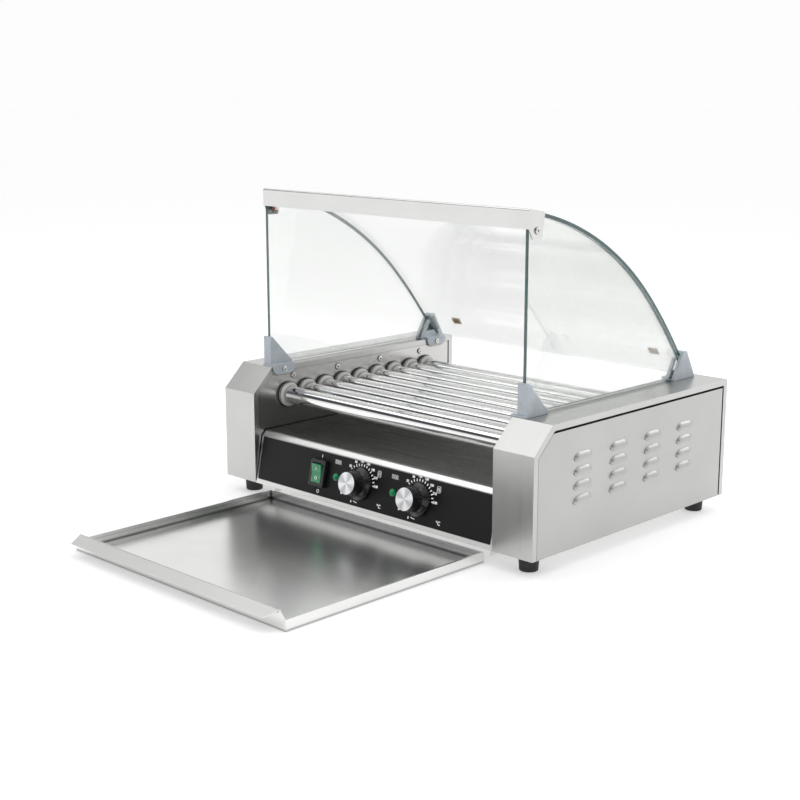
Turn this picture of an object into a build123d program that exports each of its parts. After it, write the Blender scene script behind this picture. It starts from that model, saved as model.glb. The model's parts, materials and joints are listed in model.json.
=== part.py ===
from build123d import *
from math import atan2, cos, hypot, radians, sin
import os

# Countertop hot dog roller grill.
# Frame: +X to the operator's right along the rollers, -Y towards the operator, +Z up.
# The pieces are drawn about the table under the cabinet's middle, and save() moves them to the
# frame's origin.  All lengths are in millimetres.

# ---------------------------------------------------------------- driving dimensions
BODY_WIDTH = 580.0
BODY_DEPTH = 420.0
BODY_HEIGHT = 165.0
FOOT_HEIGHT = 22.0
HOUSING_WIDTH = 64.5
COLUMN_HEIGHT = 131.0
CHAMFER_RUN = 35.0
SHEET = 1.2
FLANGE = 8.0
BEND_RADIUS = 1.5

ROLLER_COUNT = 9
ROLLER_PITCH = 36.5
ROLLER_RADIUS = 12.5
ROLLER_WALL = 1.2
ROLLER_AXIS_HEIGHT = 121.5
RUNNING_GAP = 0.05
HEATER_RADIUS = 4.0

SPROCKET_TEETH = 16
CHAIN_PITCH = 6.35
CHAIN_ROLLER_RADIUS = 1.65
DRIVE_AXIS_HEIGHT = 37.0

PANEL_SLOPE_RUN = 15.0
PANEL_SLOPE_RISE = 70.0
PANEL_FACE = 69.5
PANEL_STRIP_RUN = 6.0
DECK_HEIGHT = 75.0

GLASS = 5.0
GLASS_CLEARANCE = 0.3
SIDE_GLASS_X = 238.5
GUARD_FRONT_Y = -168.0
GUARD_TOP_HEIGHT = 418.2
GUARD_TOP_SLOPE = 8.75
CROWN_RADIUS = 463.5
CROWN_SWEEP = 37.25
TAIL_RADIUS = 800.0
TAIL_SWEEP = 10.2

CONTROL_LINE = 38.5
SWITCH_X = -95.0
KNOB_X = (-16.0, 92.0)
LAMP_X = (-62.5, 46.5)

TRAY_HALF_WIDTH = 204.0
TRAY_LENGTH = 330.0
TRAY_BACK_Y = -199.5
TRAY_WALL = 13.5
TRAY_FRONT_WALL = 23.5
TRAY_SHEET = 1.0

# ---------------------------------------------------------------- places worked out from them
BASE_Z = FOOT_HEIGHT
TOP_Z = BASE_Z + BODY_HEIGHT
COLUMN_TOP_Z = BASE_Z + COLUMN_HEIGHT
FRONT_Y = -BODY_DEPTH / 2
REAR_Y = BODY_DEPTH / 2
SIDE_X = BODY_WIDTH / 2
INNER_X = SIDE_X - HOUSING_WIDTH
FIT = 0.2

WALL = 1.5
WALL_X = INNER_X + SHEET
WALL_BACK_X = WALL_X + WALL
BASE_TOP_Z = BASE_Z + SHEET

ROLLER_Z = BASE_Z + ROLLER_AXIS_HEIGHT
FIRST_ROLLER_Y = -ROLLER_PITCH * (ROLLER_COUNT - 1) / 2
ROLLER_YS = [FIRST_ROLLER_Y + ROLLER_PITCH * index for index in range(ROLLER_COUNT)]
DRIVE_Z = BASE_Z + DRIVE_AXIS_HEIGHT
DECK_Z = BASE_Z + DECK_HEIGHT

LEAN = atan2(PANEL_SLOPE_RUN, PANEL_SLOPE_RISE)
PANEL_PLANE = Plane(origin=(0, FRONT_Y, BASE_Z), x_dir=(1, 0, 0), z_dir=(0, -cos(LEAN), sin(LEAN)))
PANEL_KNEE = (FRONT_Y + PANEL_FACE * sin(LEAN), BASE_Z + PANEL_FACE * cos(LEAN))
SCREW_LENGTH = 12.0
SCREW_RADIUS = 2.0
SCREW_HOLE = 2.1

os.makedirs("parts", exist_ok=True)


# ---------------------------------------------------------------- shared helpers
# The frame's origin, from the cabinet's middle: half way from the drawn-out tray's lip to the gland.
FRAME_Y = -162.25


def save(builder, label):
    """Move a finished sub-part to the frame's origin, label it and write its STEP file."""
    placed = builder.part.moved(Location((0, -FRAME_Y, 0)))
    placed.label = label
    export_step(placed, f"parts/{label}.step")


def side_plane(x):
    """The plane across the grill at x, seen with +Y to the right and +Z up."""
    return Plane.YZ.offset(x)


def housing_corners(low_z):
    """The corners of a housing's side outline, whose open bottom is at low_z."""
    return (
        (FRONT_Y, low_z),
        (FRONT_Y, COLUMN_TOP_Z),
        (FRONT_Y + CHAMFER_RUN, TOP_Z),
        (REAR_Y, TOP_Z),
        (REAR_Y, low_z),
    )


def housing_outline(x, inset=0.0, drop=0.0):
    """A housing's side outline, inset all round and reaching drop below the base."""
    with BuildSketch(side_plane(x)) as outline:
        with BuildLine():
            Polyline(*housing_corners(BASE_Z - drop - inset), close=True)
        make_face()
        if inset:
            offset(amount=-inset, kind=Kind.INTERSECTION, mode=Mode.REPLACE)
    return outline.sketch


def folded_strip(plane, points, thickness, side=Side.LEFT):
    """The section of a bent sheet whose one face runs through points."""
    with BuildSketch(plane) as section:
        with BuildLine():
            FilletPolyline(*points, radius=BEND_RADIUS + thickness)
            offset(amount=thickness, side=side, kind=Kind.INTERSECTION)
        make_face()
    return section.sketch


def panel_spot(x, height, proud=0.0):
    """A plane on the sloping control panel, height up its face and proud of it."""
    spot = PANEL_PLANE.location * Location((x, height, proud))
    return Plane(spot)


# ================================================================ HOUSINGS
# Clamp positions along Y, and the height of the screws that hold them to the flange.
FRONT_CLAMP_Y = -154.0
REAR_CLAMP_Y = 170.0
CLAMP_SCREW_Z = TOP_Z - 4.5
CLAMP_SCREW_SPOTS = [(FRONT_CLAMP_Y, CLAMP_SCREW_Z), (REAR_CLAMP_Y, CLAMP_SCREW_Z)]

with BuildPart() as right_housing_shell:
    extrude(housing_outline(INNER_X), amount=HOUSING_WIDTH)
    extrude(housing_outline(INNER_X, FLANGE, FLANGE), amount=HOUSING_WIDTH, mode=Mode.SUBTRACT)
    cavity_width = HOUSING_WIDTH - 2 * SHEET
    extrude(housing_outline(WALL_X, SHEET, FLANGE), amount=cavity_width, mode=Mode.SUBTRACT)
    with BuildSketch(side_plane(INNER_X)):
        with Locations(*CLAMP_SCREW_SPOTS):
            Circle(SCREW_HOLE)
    extrude(amount=SHEET, mode=Mode.SUBTRACT)
save(right_housing_shell, "right_housing_shell")

with BuildPart() as left_housing_shell:
    mirror(right_housing_shell.part, about=Plane.YZ)
save(left_housing_shell, "left_housing_shell")

# ---------------------------------------------------------------- side panels with louvres
PANEL_GAP = 0.5
PANEL_TOP_GAP = 3.0
PANEL_RETURN = 11.0
LOUVRE_LENGTH = 35.0
LOUVRE_HEIGHT = 9.5
LOUVRE_DEPTH = 4.5
LOUVRE_COLUMN_YS = [-114.5 + 74.3 * column for column in range(4)]
LOUVRE_ROW_ZS = [BASE_Z + 57.5 + 18.5 * row for row in range(4)]


def louvre_dome(shrink):
    """A hood that bulges towards +X above z = 0 and runs out in the plane x = 0 at its top."""
    rise = LOUVRE_HEIGHT - shrink
    bulge = LOUVRE_DEPTH - shrink
    half = LOUVRE_LENGTH / 2 - shrink
    # The hood is part of a spindle whose axis lies behind the panel, parallel to Y.
    axis_depth = (rise * rise - bulge * bulge) / (2 * bulge)
    with BuildPart() as dome:
        with BuildSketch(Plane.XY):
            with BuildLine():
                EllipticalCenterArc((0, half - rise), bulge, rise, 0, arc_size=90)
                Line((0, half), (-axis_depth, half))
                Line((-axis_depth, half), (-axis_depth, -half))
                Line((-axis_depth, -half), (0, -half))
                EllipticalCenterArc((0, rise - half), bulge, rise, 270, arc_size=90)
                Line((bulge, rise - half), (bulge, half - rise))
            make_face()
        revolve(axis=Axis((-axis_depth, 0, 0), (0, -1, 0)), revolution_arc=90)
        split(bisect_by=Plane.YZ.offset(-SHEET), keep=Keep.TOP)
    return dome.part


hood = louvre_dome(0.0)
hollow = louvre_dome(SHEET)


def side_panel_outline(x, low_z, inset=0.0):
    """The side panel's outline inside the housing's flange, inset further and down to low_z."""
    edge = FLANGE + PANEL_GAP + inset
    slot = FLANGE + PANEL_TOP_GAP + inset
    with BuildSketch(side_plane(x)) as outline:
        with BuildLine():
            Polyline(*housing_corners(BASE_Z - BODY_HEIGHT), close=True)
        make_face()
        offset(amount=-edge, kind=Kind.INTERSECTION, mode=Mode.REPLACE)
        with Locations((0, TOP_Z - slot)):
            Rectangle(BODY_DEPTH, slot, align=(Align.CENTER, Align.MIN), mode=Mode.SUBTRACT)
        with Locations((REAR_Y - slot, 0)):
            Rectangle(slot, 2 * TOP_Z, align=(Align.MIN, Align.CENTER), mode=Mode.SUBTRACT)
        with Locations((0, low_z + inset)):
            Rectangle(BODY_DEPTH, 2 * TOP_Z, align=(Align.CENTER, Align.MAX), mode=Mode.SUBTRACT)
    return outline.sketch


with BuildPart() as right_side_panel:
    return_depth = PANEL_RETURN - SHEET
    back_x = SIDE_X - PANEL_RETURN
    extrude(side_panel_outline(back_x, BASE_TOP_Z), amount=return_depth)
    extrude(side_panel_outline(back_x, BASE_TOP_Z, SHEET), amount=return_depth, mode=Mode.SUBTRACT)
    extrude(side_panel_outline(SIDE_X - SHEET, BASE_Z), amount=SHEET)
    louvre_spots = [(SIDE_X, y, z) for y in LOUVRE_COLUMN_YS for z in LOUVRE_ROW_ZS]
    with Locations(*louvre_spots):
        add(hood)
    with Locations(*louvre_spots):
        add(hollow, mode=Mode.SUBTRACT)
save(right_side_panel, "right_side_panel")

with BuildPart() as left_side_panel:
    mirror(right_side_panel.part, about=Plane.YZ)
save(left_side_panel, "left_side_panel")

# ---------------------------------------------------------------- inner walls
BUSH_BODY_RADIUS = 15.0
WALL_INSET = SHEET + FIT
WALL_FOOT = 14.0
WALL_SCREW_Z = TOP_Z - 17.0
WALL_SCREW_YS = (-134.0, -45.0, 45.0, 134.0)
MOTOR_SCREW_SPOTS = [(y, DRIVE_Z + z) for y in (-26, 26) for z in (-22, 22)]
SHAFT_RADIUS = 4.0
SHAFT_HOLE = 6.0

with BuildPart() as left_inner_wall:
    extrude(housing_outline(-WALL_X, WALL_INSET), amount=-WALL)
    with BuildSketch(Plane.XZ.offset(-REAR_Y + WALL_INSET)):
        with Locations((-WALL_X, BASE_Z)):
            Rectangle(WALL_FOOT, WALL_INSET + WALL, align=(Align.MAX, Align.MIN))
    extrude(amount=BODY_DEPTH - 2 * WALL_INSET)
    with BuildSketch(Plane.XY.offset(BASE_Z)):
        Rectangle(BODY_WIDTH, BODY_DEPTH)
    extrude(amount=SHEET, mode=Mode.SUBTRACT)
    with BuildSketch(side_plane(-WALL_X)):
        with Locations(*[(y, ROLLER_Z) for y in ROLLER_YS]):
            Circle(BUSH_BODY_RADIUS)
        with Locations(*CLAMP_SCREW_SPOTS, *[(y, WALL_SCREW_Z) for y in WALL_SCREW_YS]):
            Circle(SCREW_HOLE)
    extrude(amount=-WALL, mode=Mode.SUBTRACT)
save(left_inner_wall, "left_inner_wall")

with BuildPart() as right_inner_wall:
    mirror(left_inner_wall.part, about=Plane.YZ)
    with BuildSketch(side_plane(WALL_X)):
        with Locations((0, DRIVE_Z)):
            Circle(SHAFT_HOLE)
        with Locations(*MOTOR_SCREW_SPOTS):
            Circle(SCREW_HOLE)
    extrude(amount=WALL, mode=Mode.SUBTRACT)
save(right_inner_wall, "right_inner_wall")

# ================================================================ BASE AND SHEET METAL
FOOT_SPOTS = [(x, y) for x in (-262.0, 262.0) for y in (-182.0, 182.0)]
PLATE_EDGE = SHEET + 0.6
NOTCH_X = INNER_X + SHEET / 2
GUIDE_X = TRAY_HALF_WIDTH + 2.5
GUIDE_DROP = 15.0
GUIDE_LENGTH = 330.0
GUIDE_FRONT_Y = -190.0

with BuildPart() as bottom_plate:
    with BuildSketch(Plane.XY.offset(BASE_Z)):
        Rectangle(BODY_WIDTH - 2 * PLATE_EDGE, BODY_DEPTH - 2 * PLATE_EDGE)
        with Locations(*FOOT_SPOTS):
            Circle(SCREW_HOLE, mode=Mode.SUBTRACT)
        # Notches clear the ends of the housings' inner flanges.
        with Locations(*[(x, y) for x in (-NOTCH_X, NOTCH_X) for y in (FRONT_Y, REAR_Y)]):
            Rectangle(SHEET + 2 * FIT, 2 * (FLANGE + FIT), mode=Mode.SUBTRACT)
    extrude(amount=SHEET)
    # Two lips, bent down from the plate, keep the drip tray straight as it slides under.
    with BuildSketch(Plane.XY.offset(BASE_Z)):
        with Locations((GUIDE_X, GUIDE_FRONT_Y), (-GUIDE_X - SHEET, GUIDE_FRONT_Y)):
            Rectangle(SHEET, GUIDE_LENGTH, align=(Align.MIN, Align.MIN))
    extrude(amount=-GUIDE_DROP)
save(bottom_plate, "bottom_plate")

BAY_HALF_WIDTH = INNER_X - FIT
REAR_PANEL_HEIGHT = 114.0
REAR_PANEL_RETURN = 15.0
REAR_PANEL_LIP = 6.0
GLAND_X = 150.0
GLAND_Z = BASE_Z + 30.0
GLAND_HOLE = 8.0

with BuildPart() as rear_panel:
    rear_panel_top = BASE_Z + REAR_PANEL_HEIGHT
    rear_bends = [
        (REAR_Y, BASE_Z),
        (REAR_Y, rear_panel_top),
        (REAR_Y - REAR_PANEL_RETURN, rear_panel_top),
        (REAR_Y - REAR_PANEL_RETURN, rear_panel_top - REAR_PANEL_LIP),
    ]
    rear_section = folded_strip(side_plane(-BAY_HALF_WIDTH), rear_bends, SHEET)
    extrude(rear_section, amount=2 * BAY_HALF_WIDTH)
    with BuildSketch(Plane.XZ.offset(-REAR_Y)):
        with Locations((GLAND_X, GLAND_Z)):
            Circle(GLAND_HOLE)
    extrude(amount=SHEET, mode=Mode.SUBTRACT)
save(rear_panel, "rear_panel")

# ---------------------------------------------------------------- control panel and deck
DECK_SHEET = 1.0
DECK_UPSTAND = 12.0
DECK_FRONT_Y = PANEL_KNEE[0] + PANEL_STRIP_RUN
DECK_REAR_Y = REAR_Y - SHEET - FIT
PANEL_TOP_FLANGE = 24.0
OVERLAY = 0.6
OVERLAY_BOTTOM = 7.0
OVERLAY_TOP = 68.5
OVERLAY_SIDE = 4.0
SWITCH_CUT_WIDTH = 25.0
SWITCH_CUT_HEIGHT = 33.0
LAMP_HOLE = 3.5
SPINDLE_HOLE = 5.0


def cut_control_holes(proud, depth):
    """Cut the switch opening and the lamp and spindle holes, depth deep below proud."""
    with BuildSketch(panel_spot(0, CONTROL_LINE, proud)) as holes:
        with Locations((SWITCH_X, 0)):
            Rectangle(SWITCH_CUT_WIDTH, SWITCH_CUT_HEIGHT)
        with Locations(*[(x, 0) for x in LAMP_X]):
            Circle(LAMP_HOLE)
        with Locations(*[(x, 0) for x in KNOB_X]):
            Circle(SPINDLE_HOLE)
    return extrude(holes.sketch, amount=-depth, mode=Mode.PRIVATE)


with BuildPart() as control_panel:
    panel_bends = [
        (FRONT_Y, BASE_Z),
        PANEL_KNEE,
        (DECK_FRONT_Y, DECK_Z - DECK_SHEET),
        (DECK_FRONT_Y + PANEL_TOP_FLANGE, DECK_Z - DECK_SHEET),
    ]
    panel_section = folded_strip(side_plane(-BAY_HALF_WIDTH), panel_bends, SHEET, Side.RIGHT)
    extrude(panel_section, amount=2 * BAY_HALF_WIDTH)
    add(cut_control_holes(SHEET, 3 * SHEET), mode=Mode.SUBTRACT)
save(control_panel, "control_panel")

with BuildPart() as control_overlay:
    with BuildSketch(PANEL_PLANE):
        with Locations((0, OVERLAY_BOTTOM)):
            overlay_height = OVERLAY_TOP - OVERLAY_BOTTOM
            overlay_width = 2 * (BAY_HALF_WIDTH - OVERLAY_SIDE)
            Rectangle(overlay_width, overlay_height, align=(Align.CENTER, Align.MIN))
    extrude(amount=OVERLAY)
    add(cut_control_holes(OVERLAY + FIT, 2 * OVERLAY), mode=Mode.SUBTRACT)
save(control_overlay, "control_overlay")

with BuildPart() as drip_deck:
    with BuildSketch(Plane.XY.offset(DECK_Z - DECK_SHEET)):
        with Locations((0, DECK_FRONT_Y)):
            deck_length = DECK_REAR_Y - DECK_FRONT_Y
            Rectangle(2 * BAY_HALF_WIDTH, deck_length, align=(Align.CENTER, Align.MIN))
    extrude(amount=DECK_SHEET)
    with BuildSketch(side_plane(-BAY_HALF_WIDTH)):
        with Locations((DECK_REAR_Y, DECK_Z - DECK_SHEET)):
            Rectangle(DECK_SHEET, DECK_UPSTAND, align=(Align.MAX, Align.MIN))
    extrude(amount=2 * BAY_HALF_WIDTH)
save(drip_deck, "drip_deck")

# ---------------------------------------------------------------- feet
FOOT_TOP_RADIUS = 13.5
FOOT_BOTTOM_RADIUS = 12.0
FOOT_POCKET_RADIUS = 6.0
FOOT_POCKET_DEPTH = 9.0
FOOT_EDGE = 1.5
SCREW_HEAD_RADIUS = 4.0
SCREW_HEAD_HEIGHT = 2.4
SCREW_HEAD_ROUND = 1.4
CROSS_WIDTH = 0.9

with BuildPart() as rubber_feet:
    with Locations(*[(x, y, 0) for x, y in FOOT_SPOTS]):
        Cone(
            FOOT_BOTTOM_RADIUS,
            FOOT_TOP_RADIUS,
            FOOT_HEIGHT,
            align=(Align.CENTER, Align.CENTER, Align.MIN),
        )
    fillet(rubber_feet.faces().sort_by(Axis.Z)[:4].edges(), radius=FOOT_EDGE)
    with Locations(*[(x, y, 0) for x, y in FOOT_SPOTS]):
        bottom_up = (Align.CENTER, Align.CENTER, Align.MIN)
        Cylinder(FOOT_POCKET_RADIUS, FOOT_POCKET_DEPTH, align=bottom_up, mode=Mode.SUBTRACT)
        Cylinder(SCREW_HOLE, FOOT_HEIGHT, align=bottom_up, mode=Mode.SUBTRACT)
save(rubber_feet, "rubber_feet")


def pan_head_screw(length):
    """A cross-recess screw whose head sits on z = 0 and whose shank runs down from it."""
    with BuildPart() as screw:
        with BuildSketch(Plane.XY):
            Circle(SCREW_HEAD_RADIUS)
        extrude(amount=SCREW_HEAD_HEIGHT)
        fillet(screw.edges().sort_by(Axis.Z)[-1], radius=SCREW_HEAD_ROUND)
        with BuildSketch(Plane.XY):
            Circle(SCREW_RADIUS)
        extrude(amount=-length)
        with BuildSketch(Plane.XY.offset(SCREW_HEAD_HEIGHT)):
            Rectangle(SCREW_HEAD_RADIUS, CROSS_WIDTH)
            Rectangle(CROSS_WIDTH, SCREW_HEAD_RADIUS)
        extrude(amount=-SCREW_HEAD_HEIGHT / 2, mode=Mode.SUBTRACT)
    return screw.part


with BuildPart() as foot_screws:
    foot_screw = pan_head_screw(FOOT_HEIGHT - FOOT_POCKET_DEPTH + 2 * SHEET)
    with Locations(*[Plane((x, y, FOOT_POCKET_DEPTH), (1, 0, 0), (0, 0, -1)) for x, y in FOOT_SPOTS]):
        add(foot_screw)
save(foot_screws, "foot_screws")

# ================================================================ ROLLERS AND THEIR DRIVE
BUSH_FRONT = 8.6
BUSH_RING_RADIUS = 17.3
BUSH_RING_ROUND = 2.0
BUSH_GROOVE_RADIUS = 16.0
BUSH_GROOVE = 1.8
BUSH_FIN = 1.0
BUSH_BACK = 4.5
BUSH_BORE = ROLLER_RADIUS + RUNNING_GAP


def roller_bush():
    """A bush on the X axis with two seal grooves, its wall face at x = 0 and its rings at x < 0."""
    second_groove = BUSH_GROOVE + BUSH_FIN
    with BuildPart() as bush:
        with BuildSketch(Plane.XY):
            with BuildLine():
                Polyline(
                    (-BUSH_FRONT, BUSH_BORE),
                    (-BUSH_FRONT, BUSH_RING_RADIUS - BUSH_RING_ROUND),
                    (-BUSH_FRONT + BUSH_RING_ROUND, BUSH_RING_RADIUS),
                    (-second_groove - BUSH_GROOVE, BUSH_RING_RADIUS),
                    (-second_groove - BUSH_GROOVE, BUSH_GROOVE_RADIUS),
                    (-second_groove, BUSH_GROOVE_RADIUS),
                    (-second_groove, BUSH_RING_RADIUS),
                    (-BUSH_GROOVE, BUSH_RING_RADIUS),
                    (-BUSH_GROOVE, BUSH_GROOVE_RADIUS),
                    (0, BUSH_GROOVE_RADIUS),
                    (0, BUSH_BODY_RADIUS),
                    (BUSH_BACK, BUSH_BODY_RADIUS),
                    (BUSH_BACK, BUSH_BORE),
                    close=True,
                )
            make_face()
        revolve(axis=Axis.X)
    return bush.part


with BuildPart() as roller_bushes:
    bush = roller_bush()
    with Locations(*[(WALL_X, y, ROLLER_Z) for y in ROLLER_YS]):
        add(bush)
    mirror(about=Plane.YZ)
save(roller_bushes, "roller_bushes")

SPROCKET_WIDTH = 2.8
SPROCKET_GAP = 7.8
ROLLER_LEFT_END = 9.0
ROLLER_RIGHT_END = 6.0
TOOTH_HEIGHT = 1.3
TOOTH_CLEARANCE = 0.2
SPROCKET_X = WALL_BACK_X + SPROCKET_GAP
ROLLER_LEFT_X = -(WALL_BACK_X + ROLLER_LEFT_END)
ROLLER_RIGHT_X = SPROCKET_X + SPROCKET_WIDTH + ROLLER_RIGHT_END
PITCH_RADIUS = CHAIN_PITCH / (2 * sin(radians(180 / SPROCKET_TEETH)))
TOOTH_TIP_RADIUS = PITCH_RADIUS + TOOTH_HEIGHT
GULLET_RADIUS = CHAIN_ROLLER_RADIUS + TOOTH_CLEARANCE


def sprocket_section(x, bore):
    """A sprocket's toothed outline about the point (0, 0) of the plane at x."""
    with BuildSketch(side_plane(x)) as outline:
        Circle(TOOTH_TIP_RADIUS)
        with PolarLocations(PITCH_RADIUS, SPROCKET_TEETH):
            Circle(GULLET_RADIUS, mode=Mode.SUBTRACT)
            Rectangle(
                2 * GULLET_RADIUS,
                2 * GULLET_RADIUS,
                align=(Align.MIN, Align.CENTER),
                mode=Mode.SUBTRACT,
            )
        if bore:
            Circle(bore, mode=Mode.SUBTRACT)
    return outline.sketch


for number, roller_y in enumerate(ROLLER_YS, start=1):
    with BuildPart() as roller:
        with BuildSketch(side_plane(ROLLER_LEFT_X)):
            with Locations((roller_y, ROLLER_Z)):
                Circle(ROLLER_RADIUS)
                Circle(ROLLER_RADIUS - ROLLER_WALL, mode=Mode.SUBTRACT)
        extrude(amount=ROLLER_RIGHT_X - ROLLER_LEFT_X)
    save(roller, f"roller_{number}")

    with BuildPart() as roller_sprocket:
        with Locations((0, roller_y, ROLLER_Z)):
            add(extrude(sprocket_section(SPROCKET_X, ROLLER_RADIUS), SPROCKET_WIDTH, mode=Mode.PRIVATE))
    save(roller_sprocket, f"roller_sprocket_{number}")

DRIVE_HUB_RADIUS = 8.0
DRIVE_HUB_WIDTH = 5.0
MOTOR_FLANGE = 3.0
MOTOR_FLANGE_WIDTH = 66.0
MOTOR_FLANGE_HEIGHT = 60.0
MOTOR_FLANGE_CORNER = 6.0
GEARBOX_RADIUS = 28.0
GEARBOX_LENGTH = 24.0
MOTOR_CAN_RADIUS = 25.0
MOTOR_CAN_LENGTH = 34.0
MOTOR_CAN_EDGE = 3.0
SHAFT_STUB = 2.0
SHAFT_SEAT = 6.0
SHAFT_BACK_X = WALL_X - GEARBOX_LENGTH + SHAFT_SEAT
SHAFT_FRONT_X = SPROCKET_X + SPROCKET_WIDTH + DRIVE_HUB_WIDTH + SHAFT_STUB

with BuildPart() as drive_sprocket:
    extrude(sprocket_section(SPROCKET_X, 0), amount=SPROCKET_WIDTH)
    with BuildSketch(side_plane(SPROCKET_X + SPROCKET_WIDTH)):
        Circle(DRIVE_HUB_RADIUS)
    extrude(amount=DRIVE_HUB_WIDTH)
    with BuildSketch(side_plane(SHAFT_BACK_X)):
        Circle(SHAFT_RADIUS)
    extrude(amount=SHAFT_FRONT_X - SHAFT_BACK_X)
drive_sprocket.part.position = (0, 0, DRIVE_Z)
save(drive_sprocket, "drive_sprocket")

with BuildPart() as gear_motor:
    with BuildSketch(side_plane(WALL_X)):
        with Locations((0, DRIVE_Z)):
            RectangleRounded(MOTOR_FLANGE_WIDTH, MOTOR_FLANGE_HEIGHT, radius=MOTOR_FLANGE_CORNER)
    extrude(amount=-MOTOR_FLANGE)
    with BuildSketch(side_plane(WALL_X)):
        with Locations((0, DRIVE_Z)):
            Circle(GEARBOX_RADIUS)
    extrude(amount=-GEARBOX_LENGTH)
    with BuildSketch(side_plane(WALL_X - GEARBOX_LENGTH)):
        with Locations((0, DRIVE_Z)):
            Circle(MOTOR_CAN_RADIUS)
    extrude(amount=-MOTOR_CAN_LENGTH)
    can_end = gear_motor.faces().sort_by(Axis.X)[0]
    fillet(can_end.edges(), radius=MOTOR_CAN_EDGE)
    with BuildSketch(side_plane(WALL_X)):
        with Locations((0, DRIVE_Z)):
            Circle(SHAFT_RADIUS + RUNNING_GAP)
    extrude(amount=SHAFT_BACK_X - FIT - WALL_X, mode=Mode.SUBTRACT)
    with BuildSketch(side_plane(WALL_X)):
        with Locations(*MOTOR_SCREW_SPOTS):
            Circle(SCREW_RADIUS)
    extrude(amount=-SCREW_LENGTH + WALL, mode=Mode.SUBTRACT)
save(gear_motor, "gear_motor")

# The chain is two rows of side plates round the end rollers and the drive sprocket, with
# the link pins only where no tooth passes.
CHAIN_HALF_HEIGHT = 2.6
CHAIN_PLATE = 0.7
CHAIN_SIDE_GAP = 0.35
CHAIN_CORNERS = [(ROLLER_YS[0], ROLLER_Z), (ROLLER_YS[-1], ROLLER_Z), (0.0, DRIVE_Z)]
CHAIN_PIN_GAP = 0.8
CHAIN_PIN_CLEARANCE = TOOTH_TIP_RADIUS + CHAIN_ROLLER_RADIUS + CHAIN_PIN_GAP


def chain_loop(half_height):
    """The band outline round the three corner sprockets, half_height outside the pitch line."""
    with BuildSketch(Plane.XY, mode=Mode.PRIVATE) as loop:
        with Locations(*CHAIN_CORNERS):
            Circle(PITCH_RADIUS + half_height)
        make_hull()
    return loop.sketch


def chain_pin_spots():
    """Pin places along the straight runs, clear of every sprocket's teeth."""
    spots = []
    for (start_y, start_z), (end_y, end_z) in zip(CHAIN_CORNERS, CHAIN_CORNERS[1:] + CHAIN_CORNERS[:1]):
        run = hypot(end_y - start_y, end_z - start_z)
        along_y, along_z = (end_y - start_y) / run, (end_z - start_z) / run
        for step in range(int(run / CHAIN_PITCH)):
            travel = (step + 0.5) * CHAIN_PITCH
            spot_y = start_y + along_y * travel - along_z * PITCH_RADIUS
            spot_z = start_z + along_z * travel + along_y * PITCH_RADIUS
            centres = [(y, ROLLER_Z) for y in ROLLER_YS] + [(0.0, DRIVE_Z)]
            nearest = min(hypot(spot_y - y, spot_z - z) for y, z in centres)
            if nearest > CHAIN_PIN_CLEARANCE:
                spots.append((spot_y, spot_z))
    return spots


with BuildPart() as drive_chain:
    first_plate_x = SPROCKET_X - CHAIN_SIDE_GAP - CHAIN_PLATE
    second_plate_x = SPROCKET_X + SPROCKET_WIDTH + CHAIN_SIDE_GAP
    for plate_x in (first_plate_x, second_plate_x):
        with BuildSketch(side_plane(plate_x)):
            add(chain_loop(CHAIN_HALF_HEIGHT))
            add(chain_loop(-CHAIN_HALF_HEIGHT), mode=Mode.SUBTRACT)
        extrude(amount=CHAIN_PLATE)
    with BuildSketch(side_plane(first_plate_x)):
        with Locations(*chain_pin_spots()):
            Circle(CHAIN_ROLLER_RADIUS)
    extrude(amount=second_plate_x + CHAIN_PLATE - first_plate_x)
save(drive_chain, "drive_chain")

# ---------------------------------------------------------------- heaters
BRACKET_HALF_LENGTH = 165.0
BRACKET_REACH = 36.0
BRACKET_SCREW_ABOVE = 5.5
BRACKET_SCREW_BELOW = 7.0
BRACKET_DROP = 14.0
BRACKET_SHEET = 1.5
HEATER_TAIL = 8.0
BRACKET_TOP_Z = WALL_SCREW_Z - BRACKET_SCREW_ABOVE
BRACKET_FLANGE_TOP_Z = WALL_SCREW_Z + BRACKET_SCREW_BELOW
BRACKET_LOW_Z = ROLLER_Z - BRACKET_DROP
HEATER_END_X = WALL_BACK_X + BRACKET_REACH + HEATER_TAIL

with BuildPart() as heater_brackets:
    bracket_bends = [
        (WALL_BACK_X, BRACKET_FLANGE_TOP_Z),
        (WALL_BACK_X, BRACKET_TOP_Z),
        (WALL_BACK_X + BRACKET_REACH, BRACKET_TOP_Z),
        (WALL_BACK_X + BRACKET_REACH, BRACKET_LOW_Z),
    ]
    bracket_section = folded_strip(Plane.XZ, bracket_bends, BRACKET_SHEET)
    extrude(bracket_section, amount=BRACKET_HALF_LENGTH, both=True)
    with BuildSketch(side_plane(WALL_BACK_X + BRACKET_REACH / 2)):
        with Locations(*[(y, ROLLER_Z) for y in ROLLER_YS]):
            Circle(HEATER_RADIUS)
    extrude(amount=BRACKET_REACH, mode=Mode.SUBTRACT)
    with BuildSketch(side_plane(WALL_BACK_X)):
        with Locations(*[(y, WALL_SCREW_Z) for y in WALL_SCREW_YS]):
            Circle(SCREW_HOLE)
    extrude(amount=2 * BRACKET_SHEET, mode=Mode.SUBTRACT)
    mirror(about=Plane.YZ)
save(heater_brackets, "heater_brackets")

with BuildPart() as heater_rods:
    with BuildSketch(side_plane(-HEATER_END_X)):
        with Locations(*[(y, ROLLER_Z) for y in ROLLER_YS]):
            Circle(HEATER_RADIUS)
    extrude(amount=2 * HEATER_END_X)
save(heater_rods, "heater_rods")

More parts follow.
